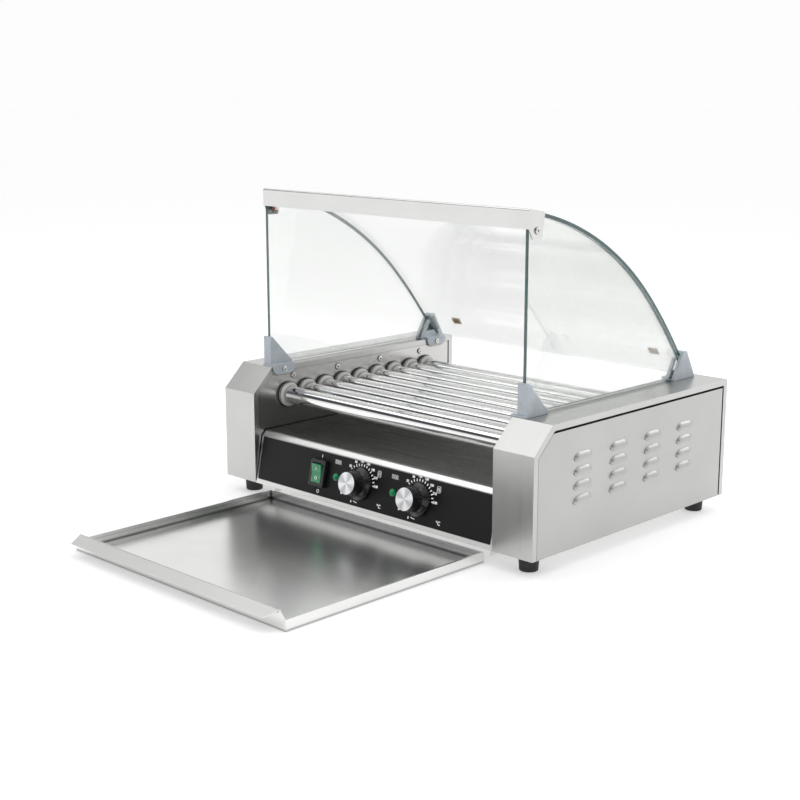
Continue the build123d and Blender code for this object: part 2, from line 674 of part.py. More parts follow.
# ================================================================ GLASS GUARD
CLAMP_BASE = 3.0
GLASS_EDGE = 0.8
CLAMP_BASE_TOP_Z = TOP_Z + CLAMP_BASE
GLASS_FOOT_Z = CLAMP_BASE_TOP_Z + GLASS_CLEARANCE
GUARD_START = (GUARD_FRONT_Y, BASE_Z + GUARD_TOP_HEIGHT)
GUARD_HALF_WIDTH = SIDE_GLASS_X + GLASS / 2


def guard_curve(depth=0.0):
    """The curved pane's line from its top front edge to its foot, depth below the outer face."""
    heading = radians(-GUARD_TOP_SLOPE)
    start = (GUARD_START[0] + depth * sin(heading), GUARD_START[1] - depth * cos(heading))
    crown = JernArc(start, (cos(heading), sin(heading)), CROWN_RADIUS - depth, -CROWN_SWEEP)
    tail = JernArc(crown @ 1, crown % 1, TAIL_RADIUS - depth, -TAIL_SWEEP)
    return crown @ 0, tail @ 1


def curved_pane_section(x, extra=0.0):
    """The curved pane's section in the plane at x, swollen by extra on both faces."""
    with BuildSketch(side_plane(x)) as section:
        with BuildLine():
            guard_curve(-extra)
            offset(amount=GLASS + 2 * extra, side=Side.RIGHT)
        make_face()
    return section.sketch


def side_pane_section(x, extra=0.0):
    """The outline of a side pane, which fills the guard's end under the curved pane."""
    with BuildSketch(side_plane(x)) as section:
        with BuildLine():
            top, foot = guard_curve(GLASS + GLASS_CLEARANCE - extra)
            Polyline(foot, (foot.X, BASE_Z), (top.X, BASE_Z), top)
        make_face()
        with Locations((GUARD_FRONT_Y - extra, BASE_Z)):
            Rectangle(BODY_DEPTH, BODY_DEPTH * 2, align=(Align.MAX, Align.CENTER), mode=Mode.SUBTRACT)
        with Locations((0, GLASS_FOOT_Z - extra)):
            Rectangle(BODY_DEPTH, BODY_DEPTH, align=(Align.CENTER, Align.MAX), mode=Mode.SUBTRACT)
    return section.sketch


with BuildPart() as curved_glass:
    extrude(curved_pane_section(-GUARD_HALF_WIDTH), amount=2 * GUARD_HALF_WIDTH)
    pane_edges = curved_glass.edges().filter_by(Axis.X)
    fillet(pane_edges.group_by(Axis.Z)[-1] + pane_edges.group_by(Axis.Z)[0], radius=GLASS_EDGE)
save(curved_glass, "curved_glass")

BAR_SCREW_Y = -155.0
BAR_SCREW_Z = BASE_Z + 393.0
GLASS_HOLE = 3.0

with BuildPart() as right_side_glass:
    extrude(side_pane_section(SIDE_GLASS_X - GLASS / 2), amount=GLASS)
    with BuildSketch(side_plane(SIDE_GLASS_X - GLASS / 2)):
        with Locations((BAR_SCREW_Y, BAR_SCREW_Z)):
            Circle(GLASS_HOLE)
    extrude(amount=GLASS, mode=Mode.SUBTRACT)
save(right_side_glass, "right_side_glass")

with BuildPart() as left_side_glass:
    mirror(right_side_glass.part, about=Plane.YZ)
save(left_side_glass, "left_side_glass")

# ---------------------------------------------------------------- top bar
BAR_SHEET = 1.2
BAR_DEPTH = 31.0
BAR_FACE = 25.0
BAR_SLOPE = radians(GUARD_TOP_SLOPE + 2.0)
BAR_LIFT = 2.4
EAR_DROP = 38.0
EAR_FRONT_TAPER = 8.0
EAR_BACK_TAPER = 5.0
BAR_FRONT_Y = GUARD_FRONT_Y - 2.8
BAR_TOP_Z = GUARD_START[1] + BAR_LIFT
EAR_X = GUARD_HALF_WIDTH + GLASS_CLEARANCE
EAR_LOW_Z = BAR_TOP_Z - EAR_DROP
BAR_BACK_Y = BAR_FRONT_Y + BAR_DEPTH
BAR_BACK_Z = BAR_TOP_Z - BAR_DEPTH * sin(BAR_SLOPE)

with BuildPart() as guard_top_bar:
    bar_bends = [
        (BAR_FRONT_Y, BAR_TOP_Z - BAR_FACE),
        (BAR_FRONT_Y, BAR_TOP_Z),
        (BAR_BACK_Y, BAR_BACK_Z),
    ]
    bar_section = folded_strip(side_plane(-EAR_X - BAR_SHEET), bar_bends, BAR_SHEET, Side.RIGHT)
    extrude(bar_section, amount=2 * (EAR_X + BAR_SHEET))
    # The ears hang from the bar's ends outside the side panes.
    with BuildSketch(side_plane(EAR_X)):
        with BuildLine():
            Polyline(
                (BAR_FRONT_Y + BAR_SHEET, BAR_TOP_Z - BAR_SHEET),
                (BAR_BACK_Y, BAR_BACK_Z - BAR_SHEET),
                (BAR_BACK_Y - EAR_BACK_TAPER, EAR_LOW_Z),
                (BAR_FRONT_Y + EAR_FRONT_TAPER, EAR_LOW_Z),
                (BAR_FRONT_Y + BAR_SHEET, BAR_TOP_Z - BAR_FACE),
                close=True,
            )
        make_face()
        with Locations((BAR_SCREW_Y, BAR_SCREW_Z)):
            Circle(SCREW_HOLE, mode=Mode.SUBTRACT)
    extrude(amount=BAR_SHEET)
    mirror(about=Plane.YZ)
save(guard_top_bar, "guard_top_bar")

NUT_RADIUS = 4.2
NUT_THICKNESS = 3.2
NUT_WASHER_RADIUS = 5.5
NUT_WASHER = 1.2
NUT_X = SIDE_GLASS_X - GLASS / 2

with BuildPart() as top_bar_nuts:
    with BuildSketch(side_plane(NUT_X)):
        with Locations((BAR_SCREW_Y, BAR_SCREW_Z)):
            Circle(NUT_WASHER_RADIUS)
            Circle(SCREW_RADIUS, mode=Mode.SUBTRACT)
    extrude(amount=-NUT_WASHER)
    with BuildSketch(side_plane(NUT_X - NUT_WASHER)):
        with Locations((BAR_SCREW_Y, BAR_SCREW_Z)):
            RegularPolygon(NUT_RADIUS, 6)
            Circle(SCREW_RADIUS, mode=Mode.SUBTRACT)
    extrude(amount=-NUT_THICKNESS)
    mirror(about=Plane.YZ)
save(top_bar_nuts, "top_bar_nuts")

# ---------------------------------------------------------------- clamps
CLAMP_RISE = 40.0
CLAMP_WIDTH = 15.0
CLAMP_OUTER_X = SIDE_GLASS_X + CLAMP_WIDTH / 2
CLAMP_INNER_X = SIDE_GLASS_X - CLAMP_WIDTH / 2
TAB = 3.0
TAB_DROP = 11.5
TAB_LENGTH = 40.0
TAB_CORNER = 9.0
GUSSET_RUN = 37.0
GUSSET_FOOT = 1.0
FRONT_WALL = 3.6


def clamp_tab(middle_y):
    """The tab that folds over the housing's inner edge, with its screw hole."""
    with BuildPart() as tab:
        with BuildSketch(side_plane(INNER_X)):
            with Locations((middle_y, CLAMP_BASE_TOP_Z)):
                tab_height = CLAMP_BASE + TAB_DROP
                Rectangle(TAB_LENGTH, tab_height, align=(Align.CENTER, Align.MAX))
        extrude(amount=-TAB)
        fillet(tab.edges().filter_by(Axis.X).group_by(Axis.Z)[0], radius=TAB_CORNER)
        with BuildSketch(side_plane(INNER_X)):
            with Locations((middle_y, CLAMP_SCREW_Z)):
                Circle(SCREW_HOLE)
        extrude(amount=-TAB, mode=Mode.SUBTRACT)
    return tab.part


def glass_slots():
    """The room that the two panes take up in the right-hand clamps."""
    side_slot = extrude(
        side_pane_section(SIDE_GLASS_X - GLASS / 2 - GLASS_CLEARANCE, GLASS_CLEARANCE),
        amount=GLASS + 2 * GLASS_CLEARANCE,
        mode=Mode.PRIVATE,
    )
    curved_slot = extrude(
        curved_pane_section(INNER_X - 2 * TAB, GLASS_CLEARANCE),
        amount=GUARD_HALF_WIDTH + GLASS_CLEARANCE - INNER_X + 2 * TAB,
        mode=Mode.PRIVATE,
    )
    return [side_slot, curved_slot]


def clamp_foot(middle_y):
    """The clamp's flat foot on the housing, reaching in as far as the tab."""
    foot_width = CLAMP_OUTER_X - INNER_X + TAB
    with BuildPart() as foot:
        with BuildSketch(Plane.XY.offset(TOP_Z)):
            with Locations((INNER_X - TAB, middle_y)):
                Rectangle(foot_width, TAB_LENGTH, align=(Align.MIN, Align.CENTER))
        extrude(amount=CLAMP_BASE)
    return foot.part


FRONT_POST_Y = GUARD_FRONT_Y - GLASS_CLEARANCE - FRONT_WALL

with BuildPart() as right_front_clamp:
    with BuildSketch(side_plane(CLAMP_INNER_X)):
        with BuildLine():
            Polyline(
                (FRONT_POST_Y, TOP_Z),
                (FRONT_POST_Y, CLAMP_BASE_TOP_Z + CLAMP_RISE),
                (FRONT_POST_Y + FRONT_WALL, CLAMP_BASE_TOP_Z + CLAMP_RISE),
                (FRONT_POST_Y + FRONT_WALL + GUSSET_RUN, CLAMP_BASE_TOP_Z + GUSSET_FOOT),
                (FRONT_POST_Y + FRONT_WALL + GUSSET_RUN, TOP_Z),
                close=True,
            )
        make_face()
    extrude(amount=CLAMP_OUTER_X - CLAMP_INNER_X)
    add(clamp_foot(FRONT_CLAMP_Y))
    add(clamp_tab(FRONT_CLAMP_Y))
    add(glass_slots(), mode=Mode.SUBTRACT)
save(right_front_clamp, "right_front_clamp")

with BuildPart() as left_front_clamp:
    mirror(right_front_clamp.part, about=Plane.YZ)
save(left_front_clamp, "left_front_clamp")

REAR_CLAMP_FRONT_Y = 146.0
REAR_CLAMP_BACK_Y = 194.0
REAR_APEX_Y = 166.0
REAR_APEX_WIDTH = 8.0
REAR_APEX_DROP = 4.5
POCKET_RIM = 3.2
POCKET_SILL = 9.0


def rear_clamp_outline(x, inset=0.0):
    """The rear clamp's arched side, inset all round."""
    apex_z = CLAMP_BASE_TOP_Z + CLAMP_RISE - REAR_APEX_DROP
    with BuildSketch(side_plane(x)) as outline:
        with BuildLine():
            Polyline(
                (REAR_CLAMP_FRONT_Y, TOP_Z),
                (REAR_CLAMP_FRONT_Y, CLAMP_BASE_TOP_Z),
                (REAR_APEX_Y, apex_z),
                (REAR_APEX_Y + REAR_APEX_WIDTH, apex_z),
                (REAR_CLAMP_BACK_Y, CLAMP_BASE_TOP_Z),
                (REAR_CLAMP_BACK_Y, TOP_Z),
                close=True,
            )
        make_face()
        if inset:
            offset(amount=-inset, kind=Kind.INTERSECTION, mode=Mode.REPLACE)
            with Locations((REAR_CLAMP_Y, CLAMP_BASE_TOP_Z + POCKET_SILL)):
                Rectangle(BODY_DEPTH, BODY_DEPTH, align=(Align.CENTER, Align.MAX), mode=Mode.SUBTRACT)
    return outline.sketch


with BuildPart() as right_rear_clamp:
    extrude(rear_clamp_outline(CLAMP_INNER_X), amount=CLAMP_WIDTH)
    # The arch is hollow on the side that faces the food bay.
    pocket = rear_clamp_outline(CLAMP_INNER_X, POCKET_RIM)
    extrude(pocket, amount=CLAMP_WIDTH / 2, mode=Mode.SUBTRACT)
    add(clamp_foot(REAR_CLAMP_Y))
    add(clamp_tab(REAR_CLAMP_Y))
    add(glass_slots(), mode=Mode.SUBTRACT)
save(right_rear_clamp, "right_rear_clamp")

with BuildPart() as left_rear_clamp:
    mirror(right_rear_clamp.part, about=Plane.YZ)
save(left_rear_clamp, "left_rear_clamp")

# ================================================================ CONTROLS
KNOB_START = OVERLAY + 0.6
KNOB_SKIRT_RADIUS = 22.5
KNOB_SKIRT = 5.0
KNOB_GRIP_RADIUS = 17.0
KNOB_FACE_RADIUS = 15.9
KNOB_SHOULDER = 1.5
KNOB_SLOPE = 3.0
KNOB_WAIST = 6.0
KNOB_HEIGHT = 27.0
CAP_RADIUS = 15.0
CAP_THICKNESS = 1.0
SPINDLE_RADIUS = 3.0
SPINDLE_INSIDE = 22.0
SPINDLE_OUTSIDE = 19.0
THERMOSTAT_WIDTH = 36.0
THERMOSTAT_DEPTH = 30.0
THERMOSTAT_CORNER = 4.0


def knob_profile():
    """Half of the knob's section: out along +X is its radius, up along +Y its height."""
    with BuildSketch(Plane.XZ) as profile:
        with BuildLine():
            Polyline(
                (SPINDLE_RADIUS, KNOB_START),
                (KNOB_SKIRT_RADIUS, KNOB_START),
                (KNOB_SKIRT_RADIUS, KNOB_SKIRT),
                (KNOB_GRIP_RADIUS + KNOB_SHOULDER, KNOB_SKIRT + KNOB_SLOPE),
                (KNOB_GRIP_RADIUS, KNOB_SKIRT + KNOB_WAIST),
                (KNOB_FACE_RADIUS, KNOB_HEIGHT),
                (CAP_RADIUS, KNOB_HEIGHT),
                (CAP_RADIUS, KNOB_HEIGHT - CAP_THICKNESS),
                (0, KNOB_HEIGHT - CAP_THICKNESS),
                (0, SPINDLE_OUTSIDE),
                (SPINDLE_RADIUS, SPINDLE_OUTSIDE),
                close=True,
            )
        make_face()
    return profile.sketch


with BuildPart() as knob_blank:
    revolve(knob_profile(), axis=Axis.Z)
with BuildPart() as cap_blank:
    with BuildSketch(Plane.XY.offset(KNOB_HEIGHT - CAP_THICKNESS)):
        Circle(CAP_RADIUS)
    extrude(amount=CAP_THICKNESS)
with BuildPart() as spindle_blank:
    with BuildSketch(Plane.XY.offset(-SPINDLE_INSIDE)):
        Circle(SPINDLE_RADIUS)
    extrude(amount=SPINDLE_INSIDE + SPINDLE_OUTSIDE)

for place, knob_x in zip(("front", "rear"), KNOB_X):
    knob_seat = panel_spot(knob_x, CONTROL_LINE)
    with BuildPart() as knob:
        with Locations(knob_seat):
            add(knob_blank.part)
    save(knob, f"{place}_knob")
    with BuildPart() as knob_cap:
        with Locations(knob_seat):
            add(cap_blank.part)
    save(knob_cap, f"{place}_knob_cap")
    with BuildPart() as knob_spindle:
        with Locations(knob_seat):
            add(spindle_blank.part)
    save(knob_spindle, f"{place}_thermostat_spindle")

with BuildPart() as thermostats:
    for knob_x in KNOB_X:
        with BuildSketch(panel_spot(knob_x, CONTROL_LINE, -SHEET)):
            RectangleRounded(THERMOSTAT_WIDTH, THERMOSTAT_WIDTH, radius=THERMOSTAT_CORNER)
        extrude(amount=-THERMOSTAT_DEPTH)
        with BuildSketch(panel_spot(knob_x, CONTROL_LINE, -SHEET)):
            Circle(SPINDLE_RADIUS + RUNNING_GAP)
        extrude(amount=-SPINDLE_INSIDE, mode=Mode.SUBTRACT)
save(thermostats, "thermostats")

# ---------------------------------------------------------------- rocker switch
BEZEL_WIDTH = 29.0
BEZEL_HEIGHT = 38.0
BEZEL_CORNER = 3.0
BEZEL_EDGE = 1.5
BEZEL_PROUD = 8.0
SWITCH_BODY_DEPTH = 26.0
ROCKER_RECESS_WIDTH = 18.8
ROCKER_RECESS_HEIGHT = 28.0
ROCKER_RECESS_FLOOR = -6.0
ROCKER_WIDTH = 18.0
ROCKER_LENGTH = 25.6
ROCKER_PIVOT = 3.0
ROCKER_TILT = 7.0
ROCKER_END = 6.6
ROCKER_MIDDLE = 5.4
ROCKER_KEEL = 5.0
ROCKER_KEEL_HALF = 6.0
PIVOT_RADIUS = 1.4
PIVOT_REACH = 11.2

with BuildPart() as switch_housing:
    with BuildSketch(panel_spot(SWITCH_X, CONTROL_LINE, OVERLAY)):
        RectangleRounded(BEZEL_WIDTH, BEZEL_HEIGHT, radius=BEZEL_CORNER)
    extrude(amount=BEZEL_PROUD - OVERLAY)
    fillet(switch_housing.faces().sort_by(Axis.Y)[0].edges(), radius=BEZEL_EDGE)
    with BuildSketch(panel_spot(SWITCH_X, CONTROL_LINE, OVERLAY)):
        Rectangle(SWITCH_CUT_WIDTH - FIT, SWITCH_CUT_HEIGHT - FIT)
    extrude(amount=-SWITCH_BODY_DEPTH)
    with BuildSketch(panel_spot(SWITCH_X, CONTROL_LINE, BEZEL_PROUD)):
        Rectangle(ROCKER_RECESS_WIDTH, ROCKER_RECESS_HEIGHT)
    extrude(amount=ROCKER_RECESS_FLOOR - BEZEL_PROUD, mode=Mode.SUBTRACT)
    with Locations(panel_spot(SWITCH_X, CONTROL_LINE, ROCKER_PIVOT)):
        pivot_bore = PIVOT_RADIUS + RUNNING_GAP
        Cylinder(pivot_bore, 2 * PIVOT_REACH + FIT, rotation=(0, 90, 0), mode=Mode.SUBTRACT)
save(switch_housing, "switch_housing")

with BuildPart() as rocker_button:
    rocker_plane = panel_spot(SWITCH_X, CONTROL_LINE, ROCKER_PIVOT).rotated((ROCKER_TILT, 0, 0))
    # In this sketch +X is up the panel and +Y stands out from it.
    with BuildSketch(Plane(rocker_plane.origin, rocker_plane.y_dir, rocker_plane.x_dir)):
        with BuildLine():
            Polyline(
                (-ROCKER_LENGTH / 2, ROCKER_END),
                (0, ROCKER_MIDDLE),
                (ROCKER_LENGTH / 2, ROCKER_END),
                (ROCKER_LENGTH / 2, 0),
                (ROCKER_KEEL_HALF, -ROCKER_KEEL),
                (-ROCKER_KEEL_HALF, -ROCKER_KEEL),
                (-ROCKER_LENGTH / 2, 0),
                close=True,
            )
        make_face()
    extrude(amount=ROCKER_WIDTH / 2, both=True)
    with Locations(rocker_plane):
        Cylinder(PIVOT_RADIUS, 2 * PIVOT_REACH, rotation=(0, 90, 0))
save(rocker_button, "rocker_button")

# ---------------------------------------------------------------- lamps
LAMP_RIM_RADIUS = 5.0
LAMP_RIM = 1.6
LAMP_DOME_RADIUS = 4.0
LAMP_BODY = 16.0

with BuildPart() as indicator_lamps:
    for lamp_x in LAMP_X:
        with BuildSketch(panel_spot(lamp_x, CONTROL_LINE, OVERLAY)):
            Circle(LAMP_RIM_RADIUS)
        extrude(amount=LAMP_RIM)
        with Locations(panel_spot(lamp_x, CONTROL_LINE, OVERLAY + LAMP_RIM)):
            standing = (Align.CENTER, Align.CENTER, Align.MIN)
            Sphere(LAMP_DOME_RADIUS, arc_size1=0, align=standing)
        with BuildSketch(panel_spot(lamp_x, CONTROL_LINE, OVERLAY)):
            Circle(LAMP_HOLE - FIT / 2)
        extrude(amount=-LAMP_BODY)
save(indicator_lamps, "indicator_lamps")

# ---------------------------------------------------------------- wiring terminals and cable gland
TERMINAL_WAYS = 6
TERMINAL_PITCH = 12.0
TERMINAL_WIDTH = 24.0
TERMINAL_HEIGHT = 18.0
TERMINAL_HOLE = 3.0
TERMINAL_HOLE_DEPTH = 10.0
TERMINAL_X = -110.0
TERMINAL_Y = 60.0

with BuildPart() as terminal_block:
    with BuildSketch(Plane.XY.offset(BASE_TOP_Z)):
        with Locations((TERMINAL_X, TERMINAL_Y)):
            Rectangle(TERMINAL_WAYS * TERMINAL_PITCH, TERMINAL_WIDTH)
    extrude(amount=TERMINAL_HEIGHT)
    with BuildSketch(Plane.XY.offset(BASE_TOP_Z + TERMINAL_HEIGHT)):
        with Locations((TERMINAL_X, TERMINAL_Y)):
            with GridLocations(TERMINAL_PITCH, TERMINAL_PITCH, TERMINAL_WAYS, 2):
                Circle(TERMINAL_HOLE)
    extrude(amount=-TERMINAL_HOLE_DEPTH, mode=Mode.SUBTRACT)
save(terminal_block, "terminal_block")

GLAND_NUT_RADIUS = 12.0
GLAND_NUT = 5.0
GLAND_DOME_RADIUS = 9.0
GLAND_DOME = 9.0
GLAND_DOME_TAPER = 8.0
GLAND_INSIDE = 12.0
GLAND_BORE = 4.0

with BuildPart() as cable_gland:
    gland_plane = Plane((GLAND_X, REAR_Y, GLAND_Z), (-1, 0, 0), (0, 1, 0))
    with BuildSketch(gland_plane):
        RegularPolygon(GLAND_NUT_RADIUS, 6)
    extrude(amount=GLAND_NUT)
    with BuildSketch(gland_plane.offset(GLAND_NUT)):
        Circle(GLAND_DOME_RADIUS)
    extrude(amount=GLAND_DOME, taper=GLAND_DOME_TAPER)
    with BuildSketch(gland_plane):
        Circle(GLAND_HOLE - FIT / 2)
    extrude(amount=-GLAND_INSIDE)
    with BuildSketch(gland_plane.offset(GLAND_NUT + GLAND_DOME)):
        Circle(GLAND_BORE)
    extrude(amount=-(GLAND_NUT + GLAND_DOME + GLAND_INSIDE), mode=Mode.SUBTRACT)
save(cable_gland, "cable_gland")

# ================================================================ FASTENERS
with BuildPart() as pan_head_screws:
    screw = pan_head_screw(SCREW_LENGTH)
    inward = [(y, WALL_SCREW_Z, WALL_X) for y in WALL_SCREW_YS]
    inward += [(y, z, INNER_X - TAB) for y, z in CLAMP_SCREW_SPOTS]
    # These heads face the food bay, and the two in the bar's ears face outwards.
    with Locations(*[Plane((x, y, z), (0, 1, 0), (-1, 0, 0)) for y, z, x in inward]):
        add(screw)
    ear_face_x = EAR_X + BAR_SHEET
    with Locations(Plane((ear_face_x, BAR_SCREW_Y, BAR_SCREW_Z), (0, 1, 0), (1, 0, 0))):
        add(screw)
    mirror(about=Plane.YZ)
    with Locations(*[Plane((WALL_BACK_X, y, z), (0, 1, 0), (1, 0, 0)) for y, z in MOTOR_SCREW_SPOTS]):
        add(screw)
save(pan_head_screws, "pan_head_screws")

# ================================================================ DRIP TRAY
TRAY_FRONT_Y = TRAY_BACK_Y - TRAY_LENGTH
TRAY_MITRE = 10.0
TRAY_HEM = 2.5
TRAY_HEM_HEIGHT = 4.0
LIP_REACH = 20.0
LIP_DROP = 6.6
LIP_MITRE = 8.0

with BuildPart() as drip_tray:
    with BuildSketch(Plane.XY):
        with Locations((0, TRAY_BACK_Y)):
            Rectangle(2 * TRAY_HALF_WIDTH, TRAY_LENGTH, align=(Align.CENTER, Align.MAX))
    extrude(amount=TRAY_WALL)
    with BuildSketch(Plane.XY.offset(TRAY_SHEET)):
        with Locations((0, TRAY_BACK_Y - TRAY_SHEET)):
            Rectangle(
                2 * (TRAY_HALF_WIDTH - TRAY_SHEET),
                TRAY_LENGTH - 2 * TRAY_SHEET,
                align=(Align.CENTER, Align.MAX),
            )
    extrude(amount=TRAY_WALL, mode=Mode.SUBTRACT)
    # The walls' top edges are folded in on themselves.
    with BuildSketch(Plane.XY.offset(TRAY_WALL - TRAY_HEM_HEIGHT)):
        with Locations((0, TRAY_BACK_Y - TRAY_LENGTH / 2)):
            Rectangle(2 * TRAY_HALF_WIDTH, TRAY_LENGTH)
            hem_width = 2 * (TRAY_HALF_WIDTH - TRAY_HEM)
            Rectangle(hem_width, TRAY_LENGTH - 2 * TRAY_HEM, mode=Mode.SUBTRACT)
    extrude(amount=TRAY_HEM_HEIGHT)
    with BuildSketch(Plane.XZ.offset(-TRAY_FRONT_Y)):
        with BuildLine():
            Polyline(
                (-TRAY_HALF_WIDTH, TRAY_WALL),
                (TRAY_HALF_WIDTH, TRAY_WALL),
                (TRAY_HALF_WIDTH - TRAY_MITRE, TRAY_FRONT_WALL),
                (TRAY_MITRE - TRAY_HALF_WIDTH, TRAY_FRONT_WALL),
                close=True,
            )
        make_face()
    extrude(amount=-TRAY_SHEET)
    # The handle lip slopes forwards and down from the front wall's top edge.
    lip_length = hypot(LIP_REACH, LIP_DROP)
    lip_slope = atan2(LIP_DROP, LIP_REACH)
    lip_plane = Plane(
        origin=(0, TRAY_FRONT_Y + TRAY_SHEET, TRAY_FRONT_WALL),
        x_dir=(1, 0, 0),
        z_dir=(0, -sin(lip_slope), cos(lip_slope)),
    )
    with BuildSketch(lip_plane):
        with BuildLine():
            lip_half = TRAY_HALF_WIDTH - TRAY_MITRE
            Polyline(
                (-lip_half, 0),
                (lip_half, 0),
                (lip_half - LIP_MITRE, -lip_length),
                (LIP_MITRE - lip_half, -lip_length),
                close=True,
            )
        make_face()
    extrude(amount=-TRAY_SHEET)
save(drip_tray, "drip_tray")
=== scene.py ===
import json
import math

import bmesh
import bpy
from mathutils import Matrix, Vector


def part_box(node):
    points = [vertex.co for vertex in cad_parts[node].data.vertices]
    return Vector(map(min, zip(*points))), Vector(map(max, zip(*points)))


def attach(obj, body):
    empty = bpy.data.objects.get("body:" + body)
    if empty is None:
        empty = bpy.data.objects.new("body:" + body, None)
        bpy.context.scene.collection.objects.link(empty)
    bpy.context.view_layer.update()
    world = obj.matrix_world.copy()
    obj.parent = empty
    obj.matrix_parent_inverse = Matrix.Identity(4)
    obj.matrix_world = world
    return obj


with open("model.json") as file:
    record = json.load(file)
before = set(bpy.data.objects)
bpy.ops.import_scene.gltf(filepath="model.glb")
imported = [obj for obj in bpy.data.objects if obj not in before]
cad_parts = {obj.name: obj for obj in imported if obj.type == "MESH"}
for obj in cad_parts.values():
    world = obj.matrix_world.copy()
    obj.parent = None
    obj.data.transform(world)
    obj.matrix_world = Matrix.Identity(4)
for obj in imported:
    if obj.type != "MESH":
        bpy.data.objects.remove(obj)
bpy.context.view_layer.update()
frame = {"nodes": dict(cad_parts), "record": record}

nodes = frame["nodes"]
joints = {joint["name"]: joint for joint in frame["record"]["behaviour"]["joints"]}

MM = 0.001
CABINET = "cabinet"


# ---------------------------------------------------------------- places taken from the frame
def joint_place(name):
    """A joint's point and axis, as vectors."""
    joint = joints[name]
    return Vector(joint["pos_m"]), Vector(joint["axis"]).normalized()


def box_of(node):
    """A node's lowest and highest corners, as vectors."""
    low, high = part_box(node)
    return Vector(low), Vector(high)


KNOBS = {"front_knob_set": "front_knob_turn", "rear_knob_set": "rear_knob_turn"}
FRONT_KNOB_SPOT, INTO_PANEL = joint_place("front_knob_turn")
PANEL_OUT = -INTO_PANEL
PANEL_RIGHT = Vector((1, 0, 0))
PANEL_UP = PANEL_OUT.cross(PANEL_RIGHT)
OVERLAY_FACE = 0.6 * MM
PRINT_RISE = 0.08 * MM
ROLLER_SPOTS = [joint_place(name)[0] for name in sorted(joints) if name.startswith("roller_")]
CABINET_MIDDLE = Vector((0, sum(spot.y for spot in ROLLER_SPOTS) / len(ROLLER_SPOTS), 0))


# ---------------------------------------------------------------- material helpers
def new_material(name):
    """A material with a Principled shader; returns the material, its nodes, links and shader."""
    material = bpy.data.materials.new(name)
    material.use_nodes = True
    tree = material.node_tree
    shader = tree.nodes["Principled BSDF"]
    return material, tree.nodes, tree.links, shader


def object_noise(tree_nodes, links, scale, detail=4.0, stretch=(1, 1, 1), roughness=0.55):
    """A noise texture on the piece's own coordinates, stretched per axis."""
    coordinates = tree_nodes.new("ShaderNodeTexCoord")
    mapping = tree_nodes.new("ShaderNodeMapping")
    mapping.inputs["Scale"].default_value = stretch
    noise = tree_nodes.new("ShaderNodeTexNoise")
    noise.inputs["Scale"].default_value = scale
    noise.inputs["Detail"].default_value = detail
    noise.inputs["Roughness"].default_value = roughness
    links.new(coordinates.outputs["Object"], mapping.inputs["Vector"])
    links.new(mapping.outputs["Vector"], noise.inputs["Vector"])
    return noise.outputs["Fac"]


def remap(tree_nodes, links, value, low, high, from_low=0.3, from_high=0.7):
    """Maps a value to a range."""
    node = tree_nodes.new("ShaderNodeMapRange")
    node.inputs["From Min"].default_value = from_low
    node.inputs["From Max"].default_value = from_high
    node.inputs["To Min"].default_value = low
    node.inputs["To Max"].default_value = high
    links.new(value, node.inputs["Value"])
    return node.outputs["Result"]


def ramp(tree_nodes, links, value, stops):
    """A colour ramp over a value; stops are (position, colour) pairs."""
    node = tree_nodes.new("ShaderNodeValToRGB")
    elements = node.color_ramp.elements
    while len(elements) < len(stops):
        elements.new(0.5)
    for element, (position, colour) in zip(elements, stops):
        element.position = position
        element.color = (*colour, 1.0)
    links.new(value, node.inputs["Fac"])
    return node.outputs["Color"]


def multiply(tree_nodes, links, first, second):
    """The product of two colours."""
    node = tree_nodes.new("ShaderNodeMix")
    node.data_type = "RGBA"
    node.blend_type = "MULTIPLY"
    node.inputs["Factor"].default_value = 1.0
    links.new(first, node.inputs["A"])
    links.new(second, node.inputs["B"])
    return node.outputs["Result"]


def mix(tree_nodes, links, factor, first, second):
    """Goes from the first colour to the second as the factor goes from 0 to 1."""
    node = tree_nodes.new("ShaderNodeMix")
    node.data_type = "RGBA"
    links.new(factor, node.inputs["Factor"])
    links.new(first, node.inputs["A"])
    links.new(second, node.inputs["B"])
    return node.outputs["Result"]


def surface_normal(tree_nodes, links, shader, height, strength, distance, edge_radius):
    """Bump from a height, on edges that are rounded a little when shaded."""
    bump = tree_nodes.new("ShaderNodeBump")
    bump.inputs["Strength"].default_value = strength
    bump.inputs["Distance"].default_value = distance
    links.new(height, bump.inputs["Height"])
    if edge_radius:
        bevel = tree_nodes.new("ShaderNodeBevel")
        bevel.samples = 4
        bevel.inputs["Radius"].default_value = edge_radius
        links.new(bevel.outputs["Normal"], bump.inputs["Normal"])
    links.new(bump.outputs["Normal"], shader.inputs["Normal"])


DARK_MARK_SHARE = 2.2
# Reach and tone of the painted shade in creases.
CREASE_SHADE_REACH = 5 * MM
CREASE_SHADE_TONE = (0.16, 0.16, 0.16)


